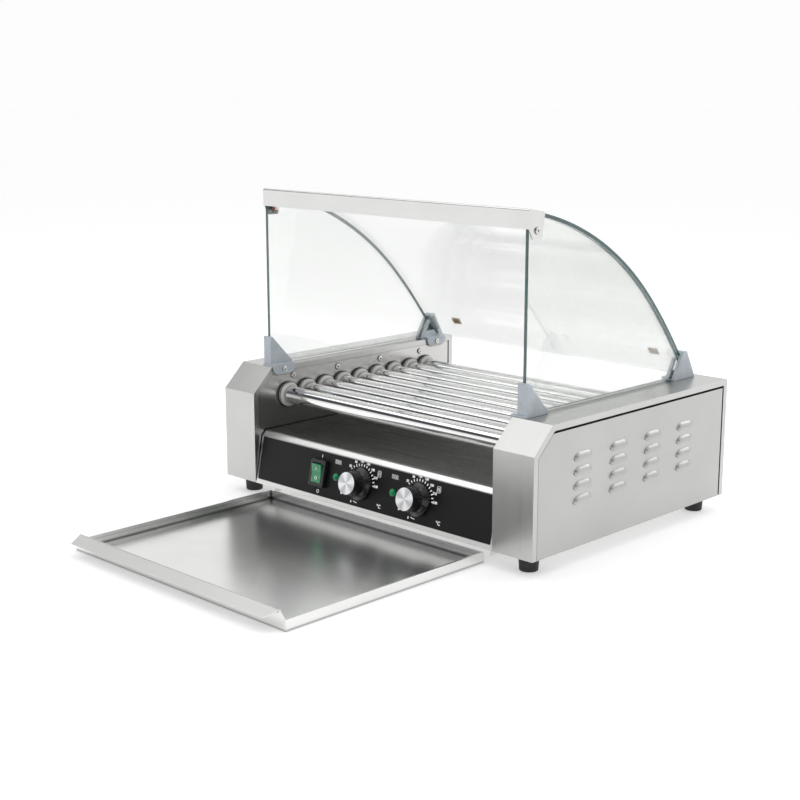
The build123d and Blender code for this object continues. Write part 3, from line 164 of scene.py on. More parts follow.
def brushed_metal(name, colour, roughness, grain, spread=0.06, edge_radius=0.5 * MM, marks=0.012):
    """Brushed sheet metal. grain holds the noise frequency along X, Y and Z, per metre."""
    material, tree_nodes, links, shader = new_material(name)
    shader.inputs["Metallic"].default_value = 1.0
    fine = object_noise(tree_nodes, links, 1.0, 5.0, grain, 0.6)
    broad = object_noise(tree_nodes, links, 7.0, 3.0)
    dark = tuple(channel * (1 - marks * DARK_MARK_SHARE) for channel in colour)
    light = tuple(min(1.0, channel * (1 + marks)) for channel in colour)
    tone = ramp(tree_nodes, links, fine, [(0.3, dark), (0.7, light)])
    smudge = ramp(tree_nodes, links, broad, [(0.35, (0.93, 0.93, 0.93)), (0.65, (1, 1, 1))])
    smudged = multiply(tree_nodes, links, tone, smudge)
    # Painted shade: ambient occlusion darkens the colour in creases, such as those round the louvres.
    creases = tree_nodes.new("ShaderNodeAmbientOcclusion")
    creases.inputs["Distance"].default_value = CREASE_SHADE_REACH
    painted_crease_shade = ramp(tree_nodes, links, creases.outputs["AO"], [(0.45, CREASE_SHADE_TONE), (0.92, (1, 1, 1))])
    crease_shaded = multiply(tree_nodes, links, smudged, painted_crease_shade)
    links.new(crease_shaded, shader.inputs["Base Color"])
    rough = remap(tree_nodes, links, fine, roughness - spread, roughness + spread)
    links.new(rough, shader.inputs["Roughness"])
    surface_normal(tree_nodes, links, shader, fine, 0.05, 0.08 * MM, edge_radius)
    return material


PLASTIC_DARK = 0.88
PLASTIC_LIGHT = 1.06


def plain_plastic(name, colour, roughness, grain_scale=900.0, strength=0.15, edge_radius=0.4 * MM):
    """Moulded plastic or rubber, with a fine skin and slight variation in tone and gloss."""
    material, tree_nodes, links, shader = new_material(name)
    grain = object_noise(tree_nodes, links, grain_scale, 3.0)
    broad = object_noise(tree_nodes, links, 60.0, 2.0)
    dark = tuple(channel * PLASTIC_DARK for channel in colour)
    light = tuple(min(1.0, channel * PLASTIC_LIGHT) for channel in colour)
    links.new(ramp(tree_nodes, links, broad, [(0.3, dark), (0.7, light)]), shader.inputs["Base Color"])
    rough = remap(tree_nodes, links, broad, roughness - 0.05, roughness + 0.05)
    links.new(rough, shader.inputs["Roughness"])
    surface_normal(tree_nodes, links, shader, grain, strength, 0.05 * MM, edge_radius)
    return material


def set_socket(material, name, value):
    """Sets one number or colour on a material's Principled shader."""
    material.node_tree.nodes["Principled BSDF"].inputs[name].default_value = value


# ---------------------------------------------------------------- materials
STAINLESS = (0.58, 0.58, 0.57)
ALONG, ACROSS = 8.0, 900.0

shell_steel = brushed_metal("shell_steel", STAINLESS, 0.30, (ACROSS, ALONG, ALONG), 0.03)
side_steel = brushed_metal("side_steel", (0.52, 0.52, 0.51), 0.36, (ACROSS, ALONG, ACROSS), 0.03)
wall_steel = brushed_metal("wall_steel", (0.60, 0.59, 0.58), 0.24, (ACROSS, ALONG, ACROSS), 0.02)
bay_steel = brushed_metal("bay_steel", (0.80, 0.80, 0.79), 0.30, (ALONG, ACROSS, ACROSS), 0.015)
# Painted shade: a darker copy of the stainless steel, for the drip deck that lies in shade below the
# rollers.
shaded_deck_steel = brushed_metal("shaded_deck_steel", (0.46, 0.46, 0.45), 0.28, (ALONG, ACROSS, ACROSS), 0.02)
tray_steel = brushed_metal("tray_steel", (0.84, 0.84, 0.83), 0.24, (ALONG, ACROSS, ACROSS), 0.02)
bar_steel = brushed_metal("bar_steel", (0.80, 0.80, 0.79), 0.22, (ALONG, ACROSS, ACROSS), 0.03)
roller_steel = brushed_metal("roller_steel", (0.90, 0.90, 0.895), 0.08, (700.0, 4.0, 4.0), 0.02, 0, 0.015)
screw_steel = brushed_metal("screw_steel", (0.78, 0.77, 0.74), 0.22, (600.0, 600.0, 600.0), 0.06, 0.2 * MM)
nut_red = plain_plastic("nut_red", (0.42, 0.03, 0.02), 0.4)
chain_steel = brushed_metal("chain_steel", (0.25, 0.24, 0.23), 0.38, (300.0, 300.0, 300.0), 0.1)
heater_steel = brushed_metal("heater_steel", (0.42, 0.36, 0.31), 0.4, (200.0, 40.0, 40.0), 0.1)
clamp_grey = plain_plastic("clamp_grey", (0.50, 0.55, 0.60), 0.42)
bush_grey = plain_plastic("bush_grey", (0.62, 0.62, 0.60), 0.38)
film_black = plain_plastic("film_black", (0.010, 0.010, 0.011), 0.42, 2500.0, 0.12)
set_socket(film_black, "Specular IOR Level", 0.22)
gloss_black = plain_plastic("gloss_black", (0.014, 0.014, 0.015), 0.20, 700.0, 0.08)
rubber_black = plain_plastic("rubber_black", (0.018, 0.018, 0.018), 0.65, 1200.0, 0.4)
motor_grey = plain_plastic("motor_grey", (0.13, 0.14, 0.15), 0.45, 600.0, 0.2)
terminal_cream = plain_plastic("terminal_cream", (0.75, 0.70, 0.55), 0.5)
print_white = plain_plastic("print_white", (0.96, 0.96, 0.96), 0.5, 2000.0, 0.1, 0)
# Painted light: a mild glow brightens the white print, which is no lamp.
set_socket(print_white, "Emission Color", (1, 1, 1, 1))
set_socket(print_white, "Emission Strength", 0.25)
gold_foil = plain_plastic("gold_foil", (0.34, 0.17, 0.04), 0.45, 1500.0, 0.3, 0)


def lens_material():
    """Green translucent plastic, lit from behind a little."""
    material, tree_nodes, links, shader = new_material("green_lens")
    cloud = object_noise(tree_nodes, links, 180.0, 3.0)
    colour = ramp(tree_nodes, links, cloud, [(0.3, (0.0, 0.17, 0.06)), (0.7, (0.01, 0.33, 0.12))])
    links.new(colour, shader.inputs["Base Color"])
    links.new(colour, shader.inputs["Emission Color"])
    shader.inputs["Emission Strength"].default_value = 0.15
    shader.inputs["Roughness"].default_value = 0.18
    shader.inputs["Coat Weight"].default_value = 0.6
    surface_normal(tree_nodes, links, shader, cloud, 0.1, 0.1 * MM, 0.4 * MM)
    return material


FAN_COUNT = 4.0
FAN_PAINTED_SHADE = (0.50, 0.51, 0.53)
FAN_PAINTED_SHEEN = (0.98, 0.98, 0.99)


def cap_material(centre):
    """Radially brushed aluminium about a knob's centre, with a painted reflection: fans of light and dark
    painted into its colour.
    """
    material, tree_nodes, links, shader = new_material("cap_aluminium")
    shader.inputs["Metallic"].default_value = 1.0
    coordinates = tree_nodes.new("ShaderNodeTexCoord")
    from_centre = tree_nodes.new("ShaderNodeVectorMath")
    from_centre.operation = "SUBTRACT"
    from_centre.inputs[1].default_value = centre
    links.new(coordinates.outputs["Object"], from_centre.inputs[0])
    parts = []
    for direction in (PANEL_RIGHT, PANEL_UP):
        dot = tree_nodes.new("ShaderNodeVectorMath")
        dot.operation = "DOT_PRODUCT"
        dot.inputs[1].default_value = direction
        links.new(from_centre.outputs[0], dot.inputs[0])
        parts.append(dot.outputs["Value"])
    angle = tree_nodes.new("ShaderNodeMath")
    angle.operation = "ARCTAN2"
    links.new(parts[1], angle.inputs[0])
    links.new(parts[0], angle.inputs[1])
    fan = tree_nodes.new("ShaderNodeMath")
    fan.operation = "MULTIPLY"
    fan.inputs[1].default_value = FAN_COUNT
    links.new(angle.outputs[0], fan.inputs[0])
    wave = tree_nodes.new("ShaderNodeMath")
    wave.operation = "SINE"
    links.new(fan.outputs[0], wave.inputs[0])
    streak = tree_nodes.new("ShaderNodeTexNoise")
    streak.noise_dimensions = "1D"
    streak.inputs["Scale"].default_value = 30.0
    links.new(angle.outputs[0], streak.inputs["W"])
    total = tree_nodes.new("ShaderNodeMath")
    total.operation = "MULTIPLY_ADD"
    total.inputs[1].default_value = 0.22
    links.new(wave.outputs[0], total.inputs[0])
    links.new(streak.outputs["Fac"], total.inputs[2])
    # Painted reflection: the fans of light and dark go into the base colour.
    tone = ramp(tree_nodes, links, total.outputs[0], [(0.25, FAN_PAINTED_SHADE), (0.75, FAN_PAINTED_SHEEN)])
    links.new(tone, shader.inputs["Base Color"])
    links.new(remap(tree_nodes, links, streak.outputs["Fac"], 0.22, 0.42), shader.inputs["Roughness"])
    return material


PANE_ALPHA = 0.24
EDGE_ALPHA = 0.92
PANE_TRANSMISSION = 0.85
CLEAR_STOPS = [(0.3, (0.74, 0.80, 0.74)), (0.7, (0.78, 0.84, 0.78))]
EDGE_STOPS = [(0.3, (0.006, 0.045, 0.05)), (0.7, (0.015, 0.09, 0.085))]


def glass_material(name, edge_test):
    """Clear float glass whose cut edges are dark green. edge_test makes the edge mask."""
    material, tree_nodes, links, shader = new_material(name)
    cloud = object_noise(tree_nodes, links, 4.0, 2.0)
    clear = ramp(tree_nodes, links, cloud, CLEAR_STOPS)
    edge_colour = ramp(tree_nodes, links, cloud, EDGE_STOPS)
    mask = edge_test(tree_nodes, links)
    links.new(mix(tree_nodes, links, mask, clear, edge_colour), shader.inputs["Base Color"])
    links.new(remap(tree_nodes, links, mask, PANE_ALPHA, EDGE_ALPHA, 0.0, 1.0), shader.inputs["Alpha"])
    links.new(remap(tree_nodes, links, mask, PANE_TRANSMISSION, 0.0, 0.0, 1.0),
              shader.inputs["Transmission Weight"])
    links.new(remap(tree_nodes, links, cloud, 0.0, 0.03), shader.inputs["Roughness"])
    shader.inputs["IOR"].default_value = 1.5
    shader.inputs["Specular IOR Level"].default_value = 0.5
    return material


FACING = 0.9


def facing_axis(axis, flip=False):
    """Makes an edge mask: faces whose normal lies along the axis, or with flip all the others."""

    def test(tree_nodes, links):
        geometry = tree_nodes.new("ShaderNodeNewGeometry")
        dot = tree_nodes.new("ShaderNodeVectorMath")
        dot.operation = "DOT_PRODUCT"
        dot.inputs[1].default_value = axis
        links.new(geometry.outputs["True Normal"], dot.inputs[0])
        size = tree_nodes.new("ShaderNodeMath")
        size.operation = "ABSOLUTE"
        links.new(dot.outputs["Value"], size.inputs[0])
        compare = tree_nodes.new("ShaderNodeMath")
        compare.operation = "LESS_THAN" if flip else "GREATER_THAN"
        compare.inputs[1].default_value = FACING
        links.new(size.outputs[0], compare.inputs[0])
        return compare.outputs[0]

    return test


side_glass = glass_material("side_glass", facing_axis((1, 0, 0), flip=True))
curved_glass = glass_material("curved_glass", facing_axis((1, 0, 0)))
green_lens = lens_material()


# ---------------------------------------------------------------- finishes of the CAD pieces
def dress(material, *names):
    """Gives CAD nodes a material in every slot."""
    for name in names:
        if not nodes[name].material_slots:
            nodes[name].data.materials.append(material)
        for slot in nodes[name].material_slots:
            slot.material = material


dress(shell_steel, "left_housing_shell", "right_housing_shell")
dress(side_steel, "left_side_panel", "right_side_panel")
dress(wall_steel, "left_inner_wall", "right_inner_wall")
dress(bay_steel, "control_panel", "rear_panel", "bottom_plate", "heater_brackets")
dress(shaded_deck_steel, "drip_deck")
dress(tray_steel, "drip_tray")
dress(bar_steel, "guard_top_bar")
dress(side_glass, "left_side_glass", "right_side_glass")
dress(curved_glass, "curved_glass")
dress(clamp_grey, "left_front_clamp", "right_front_clamp", "left_rear_clamp", "right_rear_clamp")
dress(bush_grey, "roller_bushes")
dress(film_black, "control_overlay")
dress(gloss_black, "switch_housing", "front_knob", "rear_knob", "cable_gland")
dress(green_lens, "rocker_button", "indicator_lamps")
dress(rubber_black, "rubber_feet")
dress(screw_steel, "pan_head_screws", "foot_screws", "top_bar_nuts")
dress(screw_steel, "front_thermostat_spindle", "rear_thermostat_spindle")
dress(chain_steel, "drive_chain", "drive_sprocket")
dress(heater_steel, "heater_rods")
dress(motor_grey, "gear_motor", "thermostats")
dress(terminal_cream, "terminal_block")
for number in range(1, len(ROLLER_SPOTS) + 1):
    dress(roller_steel, f"roller_{number}")
    dress(chain_steel, f"roller_sprocket_{number}")
for place in ("front", "rear"):
    dress(cap_material(joint_place(f"{place}_knob_turn")[0]), f"{place}_knob_cap")


# ---------------------------------------------------------------- mesh helpers
def piece_from_mesh(name, mesh, body, material):
    """Makes an object from a mesh, gives it a finish and lets it ride on a body."""
    piece = bpy.data.objects.new(name, mesh)
    bpy.context.scene.collection.objects.link(piece)
    mesh.materials.clear()
    mesh.materials.append(material)
    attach(piece, body)
    return piece


def piece_from_bmesh(name, shape, body, material, smooth=False):
    """As piece_from_mesh, from a bmesh."""
    mesh = bpy.data.meshes.new(name)
    bmesh.ops.recalc_face_normals(shape, faces=shape.faces)
    shape.to_mesh(mesh)
    shape.free()
    if smooth:
        for polygon in mesh.polygons:
            polygon.use_smooth = True
    return piece_from_mesh(name, mesh, body, material)


def add_prism(shape, outline, place, height):
    """Adds a flat prism to a bmesh: outline points in the XY plane, placed by a matrix."""
    bottom = [shape.verts.new(place @ Vector((x, y, 0))) for x, y in outline]
    top = [shape.verts.new(place @ Vector((x, y, height))) for x, y in outline]
    shape.faces.new(list(reversed(bottom)))
    shape.faces.new(top)
    count = len(outline)
    for index in range(count):
        following = (index + 1) % count
        shape.faces.new((bottom[index], bottom[following], top[following], top[index]))


def panel_matrix(x, height, proud, turn=0.0):
    """A matrix on the control panel: x and height in mm from the front knob's centre line."""
    origin = Vector((x * MM, FRONT_KNOB_SPOT.y, FRONT_KNOB_SPOT.z))
    origin += PANEL_UP * height * MM + PANEL_OUT * proud
    axes = Matrix((PANEL_RIGHT, PANEL_UP, PANEL_OUT)).transposed().to_4x4()
    return Matrix.Translation(origin) @ axes @ Matrix.Rotation(turn, 4, "Z")


def is_whole_turn(start, end):
    """Whether two angles are a full turn apart."""
    return abs(end - start - 2 * math.pi) < 1e-6


def circle_points(radius, count, start=0.0, end=2 * math.pi):
    """Points on a circle in the XY plane; a whole circle doesn't repeat its first point."""
    steps = count if is_whole_turn(start, end) else count - 1
    angles = [start + (end - start) * i / steps for i in range(count)]
    return [(radius * math.cos(angle), radius * math.sin(angle)) for angle in angles]


def add_band(shape, inner, outer, place, height):
    """Adds a flat band between two point rows of equal length."""
    for index in range(len(inner) - 1):
        quad = [inner[index], outer[index], outer[index + 1], inner[index + 1]]
        add_prism(shape, quad, place, height)


def add_ring(shape, radius, width, place, height, count=40, start=0.0, end=2 * math.pi):
    """Adds a flat ring, or an arc of one."""
    inner = circle_points(radius - width / 2, count, start, end)
    outer = circle_points(radius + width / 2, count, start, end)
    if is_whole_turn(start, end):
        inner.append(inner[0])
        outer.append(outer[0])
    add_band(shape, inner, outer, place, height)


LETTER_SWELL = 0.22 * MM


def text_mesh(text, size):
    """A flat mesh of generic characters, centred on the origin."""
    curve = bpy.data.curves.new("mark", "FONT")
    curve.body = text
    curve.size = size
    curve.align_x = "CENTER"
    curve.align_y = "CENTER"
    curve.extrude = PRINT_RISE / 2
    curve.offset = LETTER_SWELL
    curve.resolution_u = 3
    holder = bpy.data.objects.new("mark", curve)
    bpy.context.scene.collection.objects.link(holder)
    bpy.context.view_layer.update()
    evaluated = holder.evaluated_get(bpy.context.evaluated_depsgraph_get())
    mesh = bpy.data.meshes.new_from_object(evaluated)
    bpy.data.objects.remove(holder)
    bpy.data.curves.remove(curve)
    return mesh


def add_text(shape, text, size, place):
    """Adds flat characters to a bmesh, placed by a matrix."""
    mesh = text_mesh(text, size)
    mesh.transform(place)
    shape.from_mesh(mesh)
    bpy.data.meshes.remove(mesh)


# ---------------------------------------------------------------- print on the control panel
DIAL_NUMBERS = ("50", "90", "120", "150", "180", "210", "240")
DIAL_START, DIAL_END = math.radians(138), math.radians(2.6)
DIAL_OFF = math.radians(245)
OFF_ARC = (math.radians(252), math.radians(268))
TICKS = 13
# In mm, from the middle of a knob.
TICK_RADIUS = 25.3
NUMBER_RADIUS = 30.2
OFF_NUMBER_RADIUS = 29.5
OFF_ARC_RADIUS = 26.5
UNIT_SPOT = (40, -23.5)
PICTOGRAM_SPOT = (33.5, 19.2)
# In mm, above the middle of a lamp or of the switch.
WAVE_HEIGHT = 19.0
SWITCH_LINE_HEIGHT = 23.75
SWITCH_RING_HEIGHT = -25.5
LAMP_RIM = 5.0


def polar(radius, angle):
    """A point at a radius and angle, in mm."""
    return radius * math.cos(angle), radius * math.sin(angle)


def rectangle(half_width, half_height, x=0.0, y=0.0):
    """The outline of a rectangle round a point, in mm turned to metres."""
    corners = ((-1, -1), (1, -1), (1, 1), (-1, 1))
    return [((x + half_width * i) * MM, (y + half_height * j) * MM) for i, j in corners]


def rounded_rectangle(width, height, radius):
    """The outline of a rounded rectangle, in mm turned to metres."""
    steps = 5
    points = []
    corners = ((1, 1, 0), (-1, 1, 90), (-1, -1, 180), (1, -1, 270))
    for side_x, side_y, start in corners:
        for step in range(steps):
            angle = math.radians(start + 90 * step / (steps - 1))
            x = side_x * (width / 2 - radius) + radius * math.cos(angle)
            y = side_y * (height / 2 - radius) + radius * math.sin(angle)
            points.append((x * MM, y * MM))
    return points


def dial_angle(index, count):
    """The angle of a mark, when count marks are spread over the dial."""
    return DIAL_START + (DIAL_END - DIAL_START) * index / (count - 1)


def add_dial(shape, knob_x):
    """The ticks, numbers and symbols round one knob."""
    base = panel_matrix(knob_x, 0, OVERLAY_FACE)
    for tick in range(TICKS):
        angle = dial_angle(tick, TICKS)
        x, y = polar(TICK_RADIUS, angle)
        mark = panel_matrix(knob_x + x, y, OVERLAY_FACE, angle)
        add_prism(shape, rectangle(1.7, 0.75), mark, PRINT_RISE)
    for index, number in enumerate(DIAL_NUMBERS):
        x, y = polar(NUMBER_RADIUS, dial_angle(index, len(DIAL_NUMBERS)))
        add_text(shape, number, 4.6 * MM, panel_matrix(knob_x + x, y, OVERLAY_FACE))
    x, y = polar(OFF_NUMBER_RADIUS, DIAL_OFF)
    add_text(shape, "0", 4.4 * MM, panel_matrix(knob_x + x, y, OVERLAY_FACE))
    add_ring(shape, OFF_ARC_RADIUS * MM, 1.1 * MM, base, PRINT_RISE, 8, *OFF_ARC)
    x, y = UNIT_SPOT
    add_text(shape, "°C", 7.0 * MM, panel_matrix(knob_x + x, y, OVERLAY_FACE))
    # A plain pictogram: a rounded frame with two upright bars.
    x, y = PICTOGRAM_SPOT
    place = panel_matrix(knob_x + x, y, OVERLAY_FACE)
    outside = rounded_rectangle(6.6, 8.6, 1.8)
    inside = rounded_rectangle(5.6, 7.6, 1.4)
    add_band(shape, inside + inside[:1], outside + outside[:1], place, PRINT_RISE)
    for bar_x in (-1.2, 1.2):
        add_prism(shape, rectangle(0.45, 2.4, bar_x), place, PRINT_RISE)


def add_waves(shape, lamp_x):
    """Three wavy lines above a lamp."""
    for row in range(3):
        level = WAVE_HEIGHT + 2.0 * row
        wave = [(-6 + 0.6 * step, level + 0.7 * math.sin(step * 0.9)) for step in range(21)]
        lower = [(x * MM, (y - 0.35) * MM) for x, y in wave]
        upper = [(x * MM, (y + 0.35) * MM) for x, y in wave]
        add_band(shape, lower, upper, panel_matrix(lamp_x, 0, OVERLAY_FACE), PRINT_RISE)


def lamp_positions():
    """The lamps' places along X, in mm, from the ends of their node's box."""
    low, high = box_of("indicator_lamps")
    return low.x / MM + LAMP_RIM, high.x / MM - LAMP_RIM


def panel_print():
    """The marks round the knobs, lamps and switch, as one piece."""
    shape = bmesh.new()
    for joint in KNOBS.values():
        add_dial(shape, joint_place(joint)[0].x / MM)
    for lamp_x in lamp_positions():
        add_waves(shape, lamp_x)
    switch_x = joint_place("rocker_tip")[0].x / MM
    switch = panel_matrix(switch_x, 0, OVERLAY_FACE)
    add_prism(shape, rectangle(0.5, 2.25, 0.0, SWITCH_LINE_HEIGHT), switch, PRINT_RISE)
    below = panel_matrix(switch_x, SWITCH_RING_HEIGHT, OVERLAY_FACE)
    add_ring(shape, 2.1 * MM, 0.8 * MM, below, PRINT_RISE, 24)
    piece_from_bmesh("panel_print", shape, CABINET, print_white)


panel_print()


# ---------------------------------------------------------------- knob pointers and rocker marks
# The pointer's middle and corners, in mm.
POINTER_RADIUS = 16.0
POINTER_WEDGE = ((-1.2, -2.0), (1.6, 0), (-1.2, 2.0))
POINTER_THICKNESS = 0.75 * MM
KNOB_FACE = 26.4 * MM


def knob_pointers():
    """A white wedge at the edge of each knob's face, pointing at the off mark."""
    for body, joint in KNOBS.items():
        knob_x = joint_place(joint)[0].x / MM
        shape = bmesh.new()
        x, y = polar(POINTER_RADIUS, DIAL_OFF)
        place = panel_matrix(knob_x + x, y, KNOB_FACE, DIAL_OFF)
        wedge = [(along * MM, aside * MM) for along, aside in POINTER_WEDGE]
        add_prism(shape, wedge, place, POINTER_THICKNESS)
        piece_from_bmesh(f"{body}_pointer", shape, body, print_white)


knob_pointers()


ROCKER_REST_TILT = math.radians(7.0)
ROCKER_PIVOT = 3.0 * MM
ROCKER_FACE = 6.02 * MM
ROCKER_FACE_SLOPE = math.atan2(1.2, 12.8)
ROCKER_MARK_HEIGHT = 6.4 * MM


def rocker_half(side):
    """A matrix on the upper (1) or lower (-1) half of the rocker's face, about its pivot."""
    pivot_x = joint_place("rocker_tip")[0].x / MM
    base = panel_matrix(pivot_x, 0, ROCKER_PIVOT) @ Matrix.Rotation(ROCKER_REST_TILT, 4, "X")
    middle = Matrix.Translation((0, side * ROCKER_MARK_HEIGHT, ROCKER_FACE))
    return base @ middle @ Matrix.Rotation(side * ROCKER_FACE_SLOPE, 4, "X")


def rocker_marks():
    """The line and ring on the two halves of the rocker button."""
    shape = bmesh.new()
    add_prism(shape, rectangle(0.45, 2.2), rocker_half(1), PRINT_RISE)
    add_ring(shape, 1.9 * MM, 0.75 * MM, rocker_half(-1), PRINT_RISE, 24)
    piece_from_bmesh("rocker_marks", shape, "rocker", print_white)


rocker_marks()


# ---------------------------------------------------------------- black rings in the bush grooves
GROOVE_RING_DEPTHS = (5.4 * MM, 8.2 * MM)
GROOVE_RING_RADIUS = 16.85 * MM
GROOVE_RING_CORD_RADIUS = 0.85 * MM


def groove_rings():
    """A black ring in each of the two grooves of every roller bush."""
    # Black rings darken the two grooves of every roller bush.
    low, high = box_of("roller_bushes")
    ring_places = []
    for depth in GROOVE_RING_DEPTHS:
        ring_places += [low.x + depth, high.x - depth]
    shape = bmesh.new()
    around, across = 40, 10
    for ring_x in ring_places:
        for spot in ROLLER_SPOTS:
            rows = []
            for i in range(around):
                turn = 2 * math.pi * i / around
                row = []
                for j in range(across):
                    roll = 2 * math.pi * j / across
                    radius = GROOVE_RING_RADIUS + GROOVE_RING_CORD_RADIUS * math.cos(roll)
                    row.append(shape.verts.new((
                        ring_x + GROOVE_RING_CORD_RADIUS * math.sin(roll),
                        spot.y + radius * math.cos(turn),
                        spot.z + radius * math.sin(turn),
                    )))
                rows.append(row)
            for i in range(around):
                for j in range(across):
                    a, b = rows[i], rows[(i + 1) % around]
                    k = (j + 1) % across
                    shape.faces.new((a[j], b[j], b[k], a[k]))
    piece_from_bmesh("bush_seal_rings", shape, CABINET, rubber_black, smooth=True)


groove_rings()


# ---------------------------------------------------------------- washer at the bar's left nut
# Shares of the nut's radius.
WASHER_RADIUS = 0.7
WASHER_WIDTH = 0.45
WASHER_THICKNESS = 0.9 * MM


def bar_washer():
    """A red fibre washer round the inner end of the left nut under the guard's top bar."""
    low, high = box_of("top_bar_nuts")
    middle = (low + high) / 2
    nut_radius = (high.z - low.z) / 2
    radius = WASHER_RADIUS * nut_radius
    ray_start = Vector((0, middle.y, middle.z + radius))
    nut_end = nodes["top_bar_nuts"].ray_cast(ray_start, Vector((-1, 0, 0)))[1].x
    place = Matrix.Translation((nut_end, middle.y, middle.z)) @ Matrix.Rotation(math.pi / 2, 4, "Y")
    shape = bmesh.new()
    add_ring(shape, radius, WASHER_WIDTH * nut_radius, place, WASHER_THICKNESS, 32)
    piece_from_bmesh("bar_washer", shape, CABINET, nut_red)


bar_washer()


# ---------------------------------------------------------------- stickers on the curved pane
pane_low, pane_high = box_of("curved_glass")
STICKER_WIDTH, STICKER_HEIGHT = 17 * MM, 10 * MM
STICKER_Z = pane_low.z + 30 * MM
STICKER_COLUMNS, STICKER_ROWS = 9, 5
# The lower and upper face's distances from the glass.
STICKER_LIFTS = (0.05 * MM, 0.25 * MM)
RAY_CLEARANCE = 0.1


def sticker_layer(shape, centre_x, lift):
    """A grid of points at a distance from the outside of the curved pane."""
    pane = nodes["curved_glass"]
    grid = []
    for row in range(STICKER_ROWS):
        line = []
        for column in range(STICKER_COLUMNS):
            x = centre_x + STICKER_WIDTH * (column / (STICKER_COLUMNS - 1) - 0.5)
            z = STICKER_Z + STICKER_HEIGHT * (row / (STICKER_ROWS - 1) - 0.5)
            ray_start = Vector((x, pane_high.y + RAY_CLEARANCE, z))
            _, point, normal, _ = pane.ray_cast(ray_start, Vector((0, -1, 0)))
            line.append(shape.verts.new(point + normal * lift))
        grid.append(line)
    return grid


def pane_sticker(name, centre_x):
    """A small foil label laid on the outside of the curved pane."""
    shape = bmesh.new()
    lower, upper = (sticker_layer(shape, centre_x, lift) for lift in STICKER_LIFTS)
    for grid in (lower, upper):
        for row in range(STICKER_ROWS - 1):
            for column in range(STICKER_COLUMNS - 1):
                corners = ((0, 0), (0, 1), (1, 1), (1, 0))
                shape.faces.new([grid[row + i][column + j] for i, j in corners])
    last_row, last_column = STICKER_ROWS - 1, STICKER_COLUMNS - 1
    rim = [(0, column) for column in range(STICKER_COLUMNS)]
    rim += [(row, last_column) for row in range(1, STICKER_ROWS)]
    rim += [(last_row, column) for column in range(last_column - 1, -1, -1)]
    rim += [(row, 0) for row in range(last_row - 1, 0, -1)]
    for (r0, c0), (r1, c1) in zip(rim, rim[1:] + rim[:1]):
        shape.faces.new((lower[r0][c0], lower[r1][c1], upper[r1][c1], upper[r0][c0]))
    piece_from_bmesh(name, shape, CABINET, gold_foil, smooth=True)


pane_sticker("left_pane_sticker", pane_low.x + 66 * MM)
pane_sticker("right_pane_sticker", pane_high.x - 44 * MM)


# ---------------------------------------------------------------- floor, lights, camera
FLOOR_GLOW = 0.38
FLOOR_RADIUS = 40.0
FLOOR_DROP = 0.0005


def make_floor():
    """A wide pale floor under the object."""
    shape = bmesh.new()
    bmesh.ops.create_circle(shape, cap_ends=True, radius=FLOOR_RADIUS, segments=96)
    mesh = bpy.data.meshes.new("floor")
    shape.to_mesh(mesh)
    shape.free()
    floor = bpy.data.objects.new("floor", mesh)
    bpy.context.scene.collection.objects.link(floor)
    material, _, _, shader = new_material("floor_white")
    shader.inputs["Base Color"].default_value = (0.85, 0.85, 0.85, 1)
    shader.inputs["Emission Color"].default_value = (1, 1, 1, 1)
    shader.inputs["Emission Strength"].default_value = FLOOR_GLOW
    shader.inputs["Roughness"].default_value = 0.9
    shader.inputs["Specular IOR Level"].default_value = 0.1
    mesh.materials.append(material)
    floor.location.z = -FLOOR_DROP


# The studio's grey levels from the horizon (0) to straight up (1).
OPERATOR_SIDE = [
    (0.20, (0.98, 0.98, 0.98)),
    (0.26, (0.10, 0.10, 0.11)),
    (0.56, (0.06, 0.06, 0.07)),
    (0.63, (0.66, 0.66, 0.66)),
    (0.86, (0.90, 0.90, 0.90)),
]
REAR_SIDE = [(0.50, (0.98, 0.98, 0.98)), (0.85, (0.60, 0.60, 0.60))]


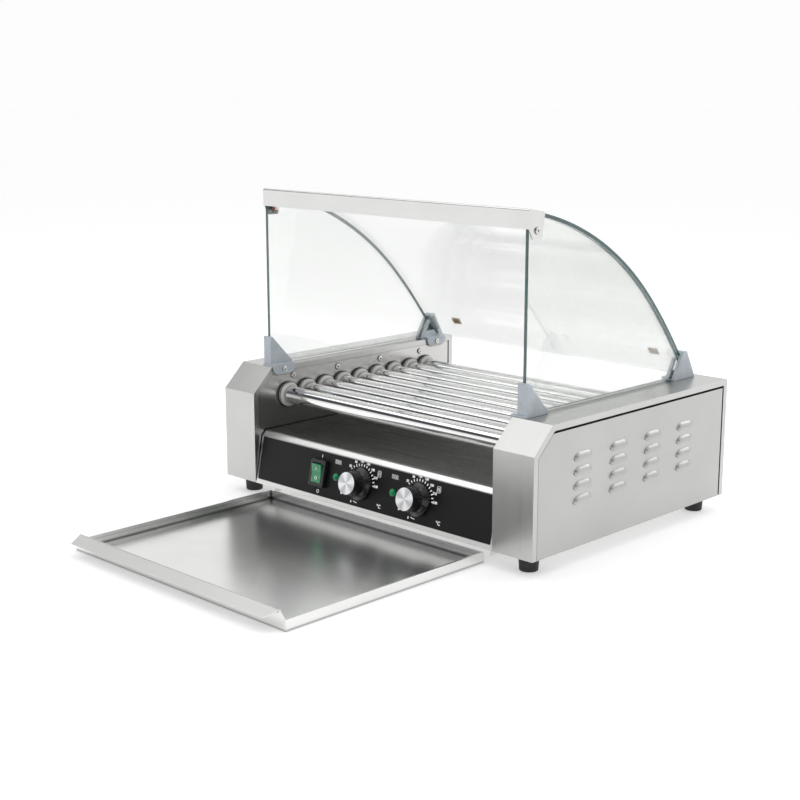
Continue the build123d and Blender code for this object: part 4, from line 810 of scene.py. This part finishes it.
def make_world():
    """A white studio with a dark band on the operator's side, for contrast in the metal."""
    world = bpy.data.worlds.new("studio")
    bpy.context.scene.world = world
    world.use_nodes = True
    tree = world.node_tree
    coordinates = tree.nodes.new("ShaderNodeTexCoord")
    parts = tree.nodes.new("ShaderNodeSeparateXYZ")
    tree.links.new(coordinates.outputs["Generated"], parts.inputs[0])
    front = ramp(tree.nodes, tree.links, parts.outputs["Z"], OPERATOR_SIDE)
    back = ramp(tree.nodes, tree.links, parts.outputs["Z"], REAR_SIDE)
    behind = remap(tree.nodes, tree.links, parts.outputs["Y"], 0.0, 1.0, 0.0, 0.35)
    studio = mix(tree.nodes, tree.links, behind, front, back)
    tree.links.new(studio, tree.nodes["Background"].inputs["Color"])
    tree.nodes["Background"].inputs["Strength"].default_value = 1.0


def soft_light(name, place, aim, size, power):
    """A square soft light aimed at a point, both measured from the cabinet's middle."""
    data = bpy.data.lights.new(name, "AREA")
    data.energy = power
    data.size = size
    light = bpy.data.objects.new(name, data)
    light.location = CABINET_MIDDLE + Vector(place)
    light.rotation_euler = (Vector(aim) - Vector(place)).to_track_quat("-Z", "Y").to_euler()
    bpy.context.scene.collection.objects.link(light)


CAMERA_AZIMUTH = math.radians(44.37)
CAMERA_ELEVATION = math.radians(12.4)
CAMERA_DISTANCE = 2.1683
CAMERA_LENS = 65.3
CAMERA_AIM = CABINET_MIDDLE + Vector((-0.1386, 0.0, 0.12455))


def make_camera():
    """The camera at the viewing angle of the reference picture."""
    back = Vector((
        math.sin(CAMERA_AZIMUTH) * math.cos(CAMERA_ELEVATION),
        -math.cos(CAMERA_AZIMUTH) * math.cos(CAMERA_ELEVATION),
        math.sin(CAMERA_ELEVATION),
    ))
    data = bpy.data.cameras.new("camera")
    data.lens = CAMERA_LENS
    data.sensor_width = 36.0
    camera = bpy.data.objects.new("camera", data)
    camera.location = CAMERA_AIM + back * CAMERA_DISTANCE
    camera.rotation_euler = (-back).to_track_quat("-Z", "Y").to_euler()
    bpy.context.scene.collection.objects.link(camera)
    bpy.context.scene.camera = camera


make_floor()
make_world()
soft_light("key_light", (-1.2, -1.0, 2.2), (0, 0, 0.1), 1.6, 8)
soft_light("back_light", (0.6, 2.0, 1.6), (0, 0, 0.2), 1.4, 9)
soft_light("top_light", (0.2, 0.1, 2.4), (0, 0, 0.1), 1.2, 8)
make_camera()
bpy.context.scene.view_settings.view_transform = "Standard"
bpy.context.scene.view_settings.look = "None"
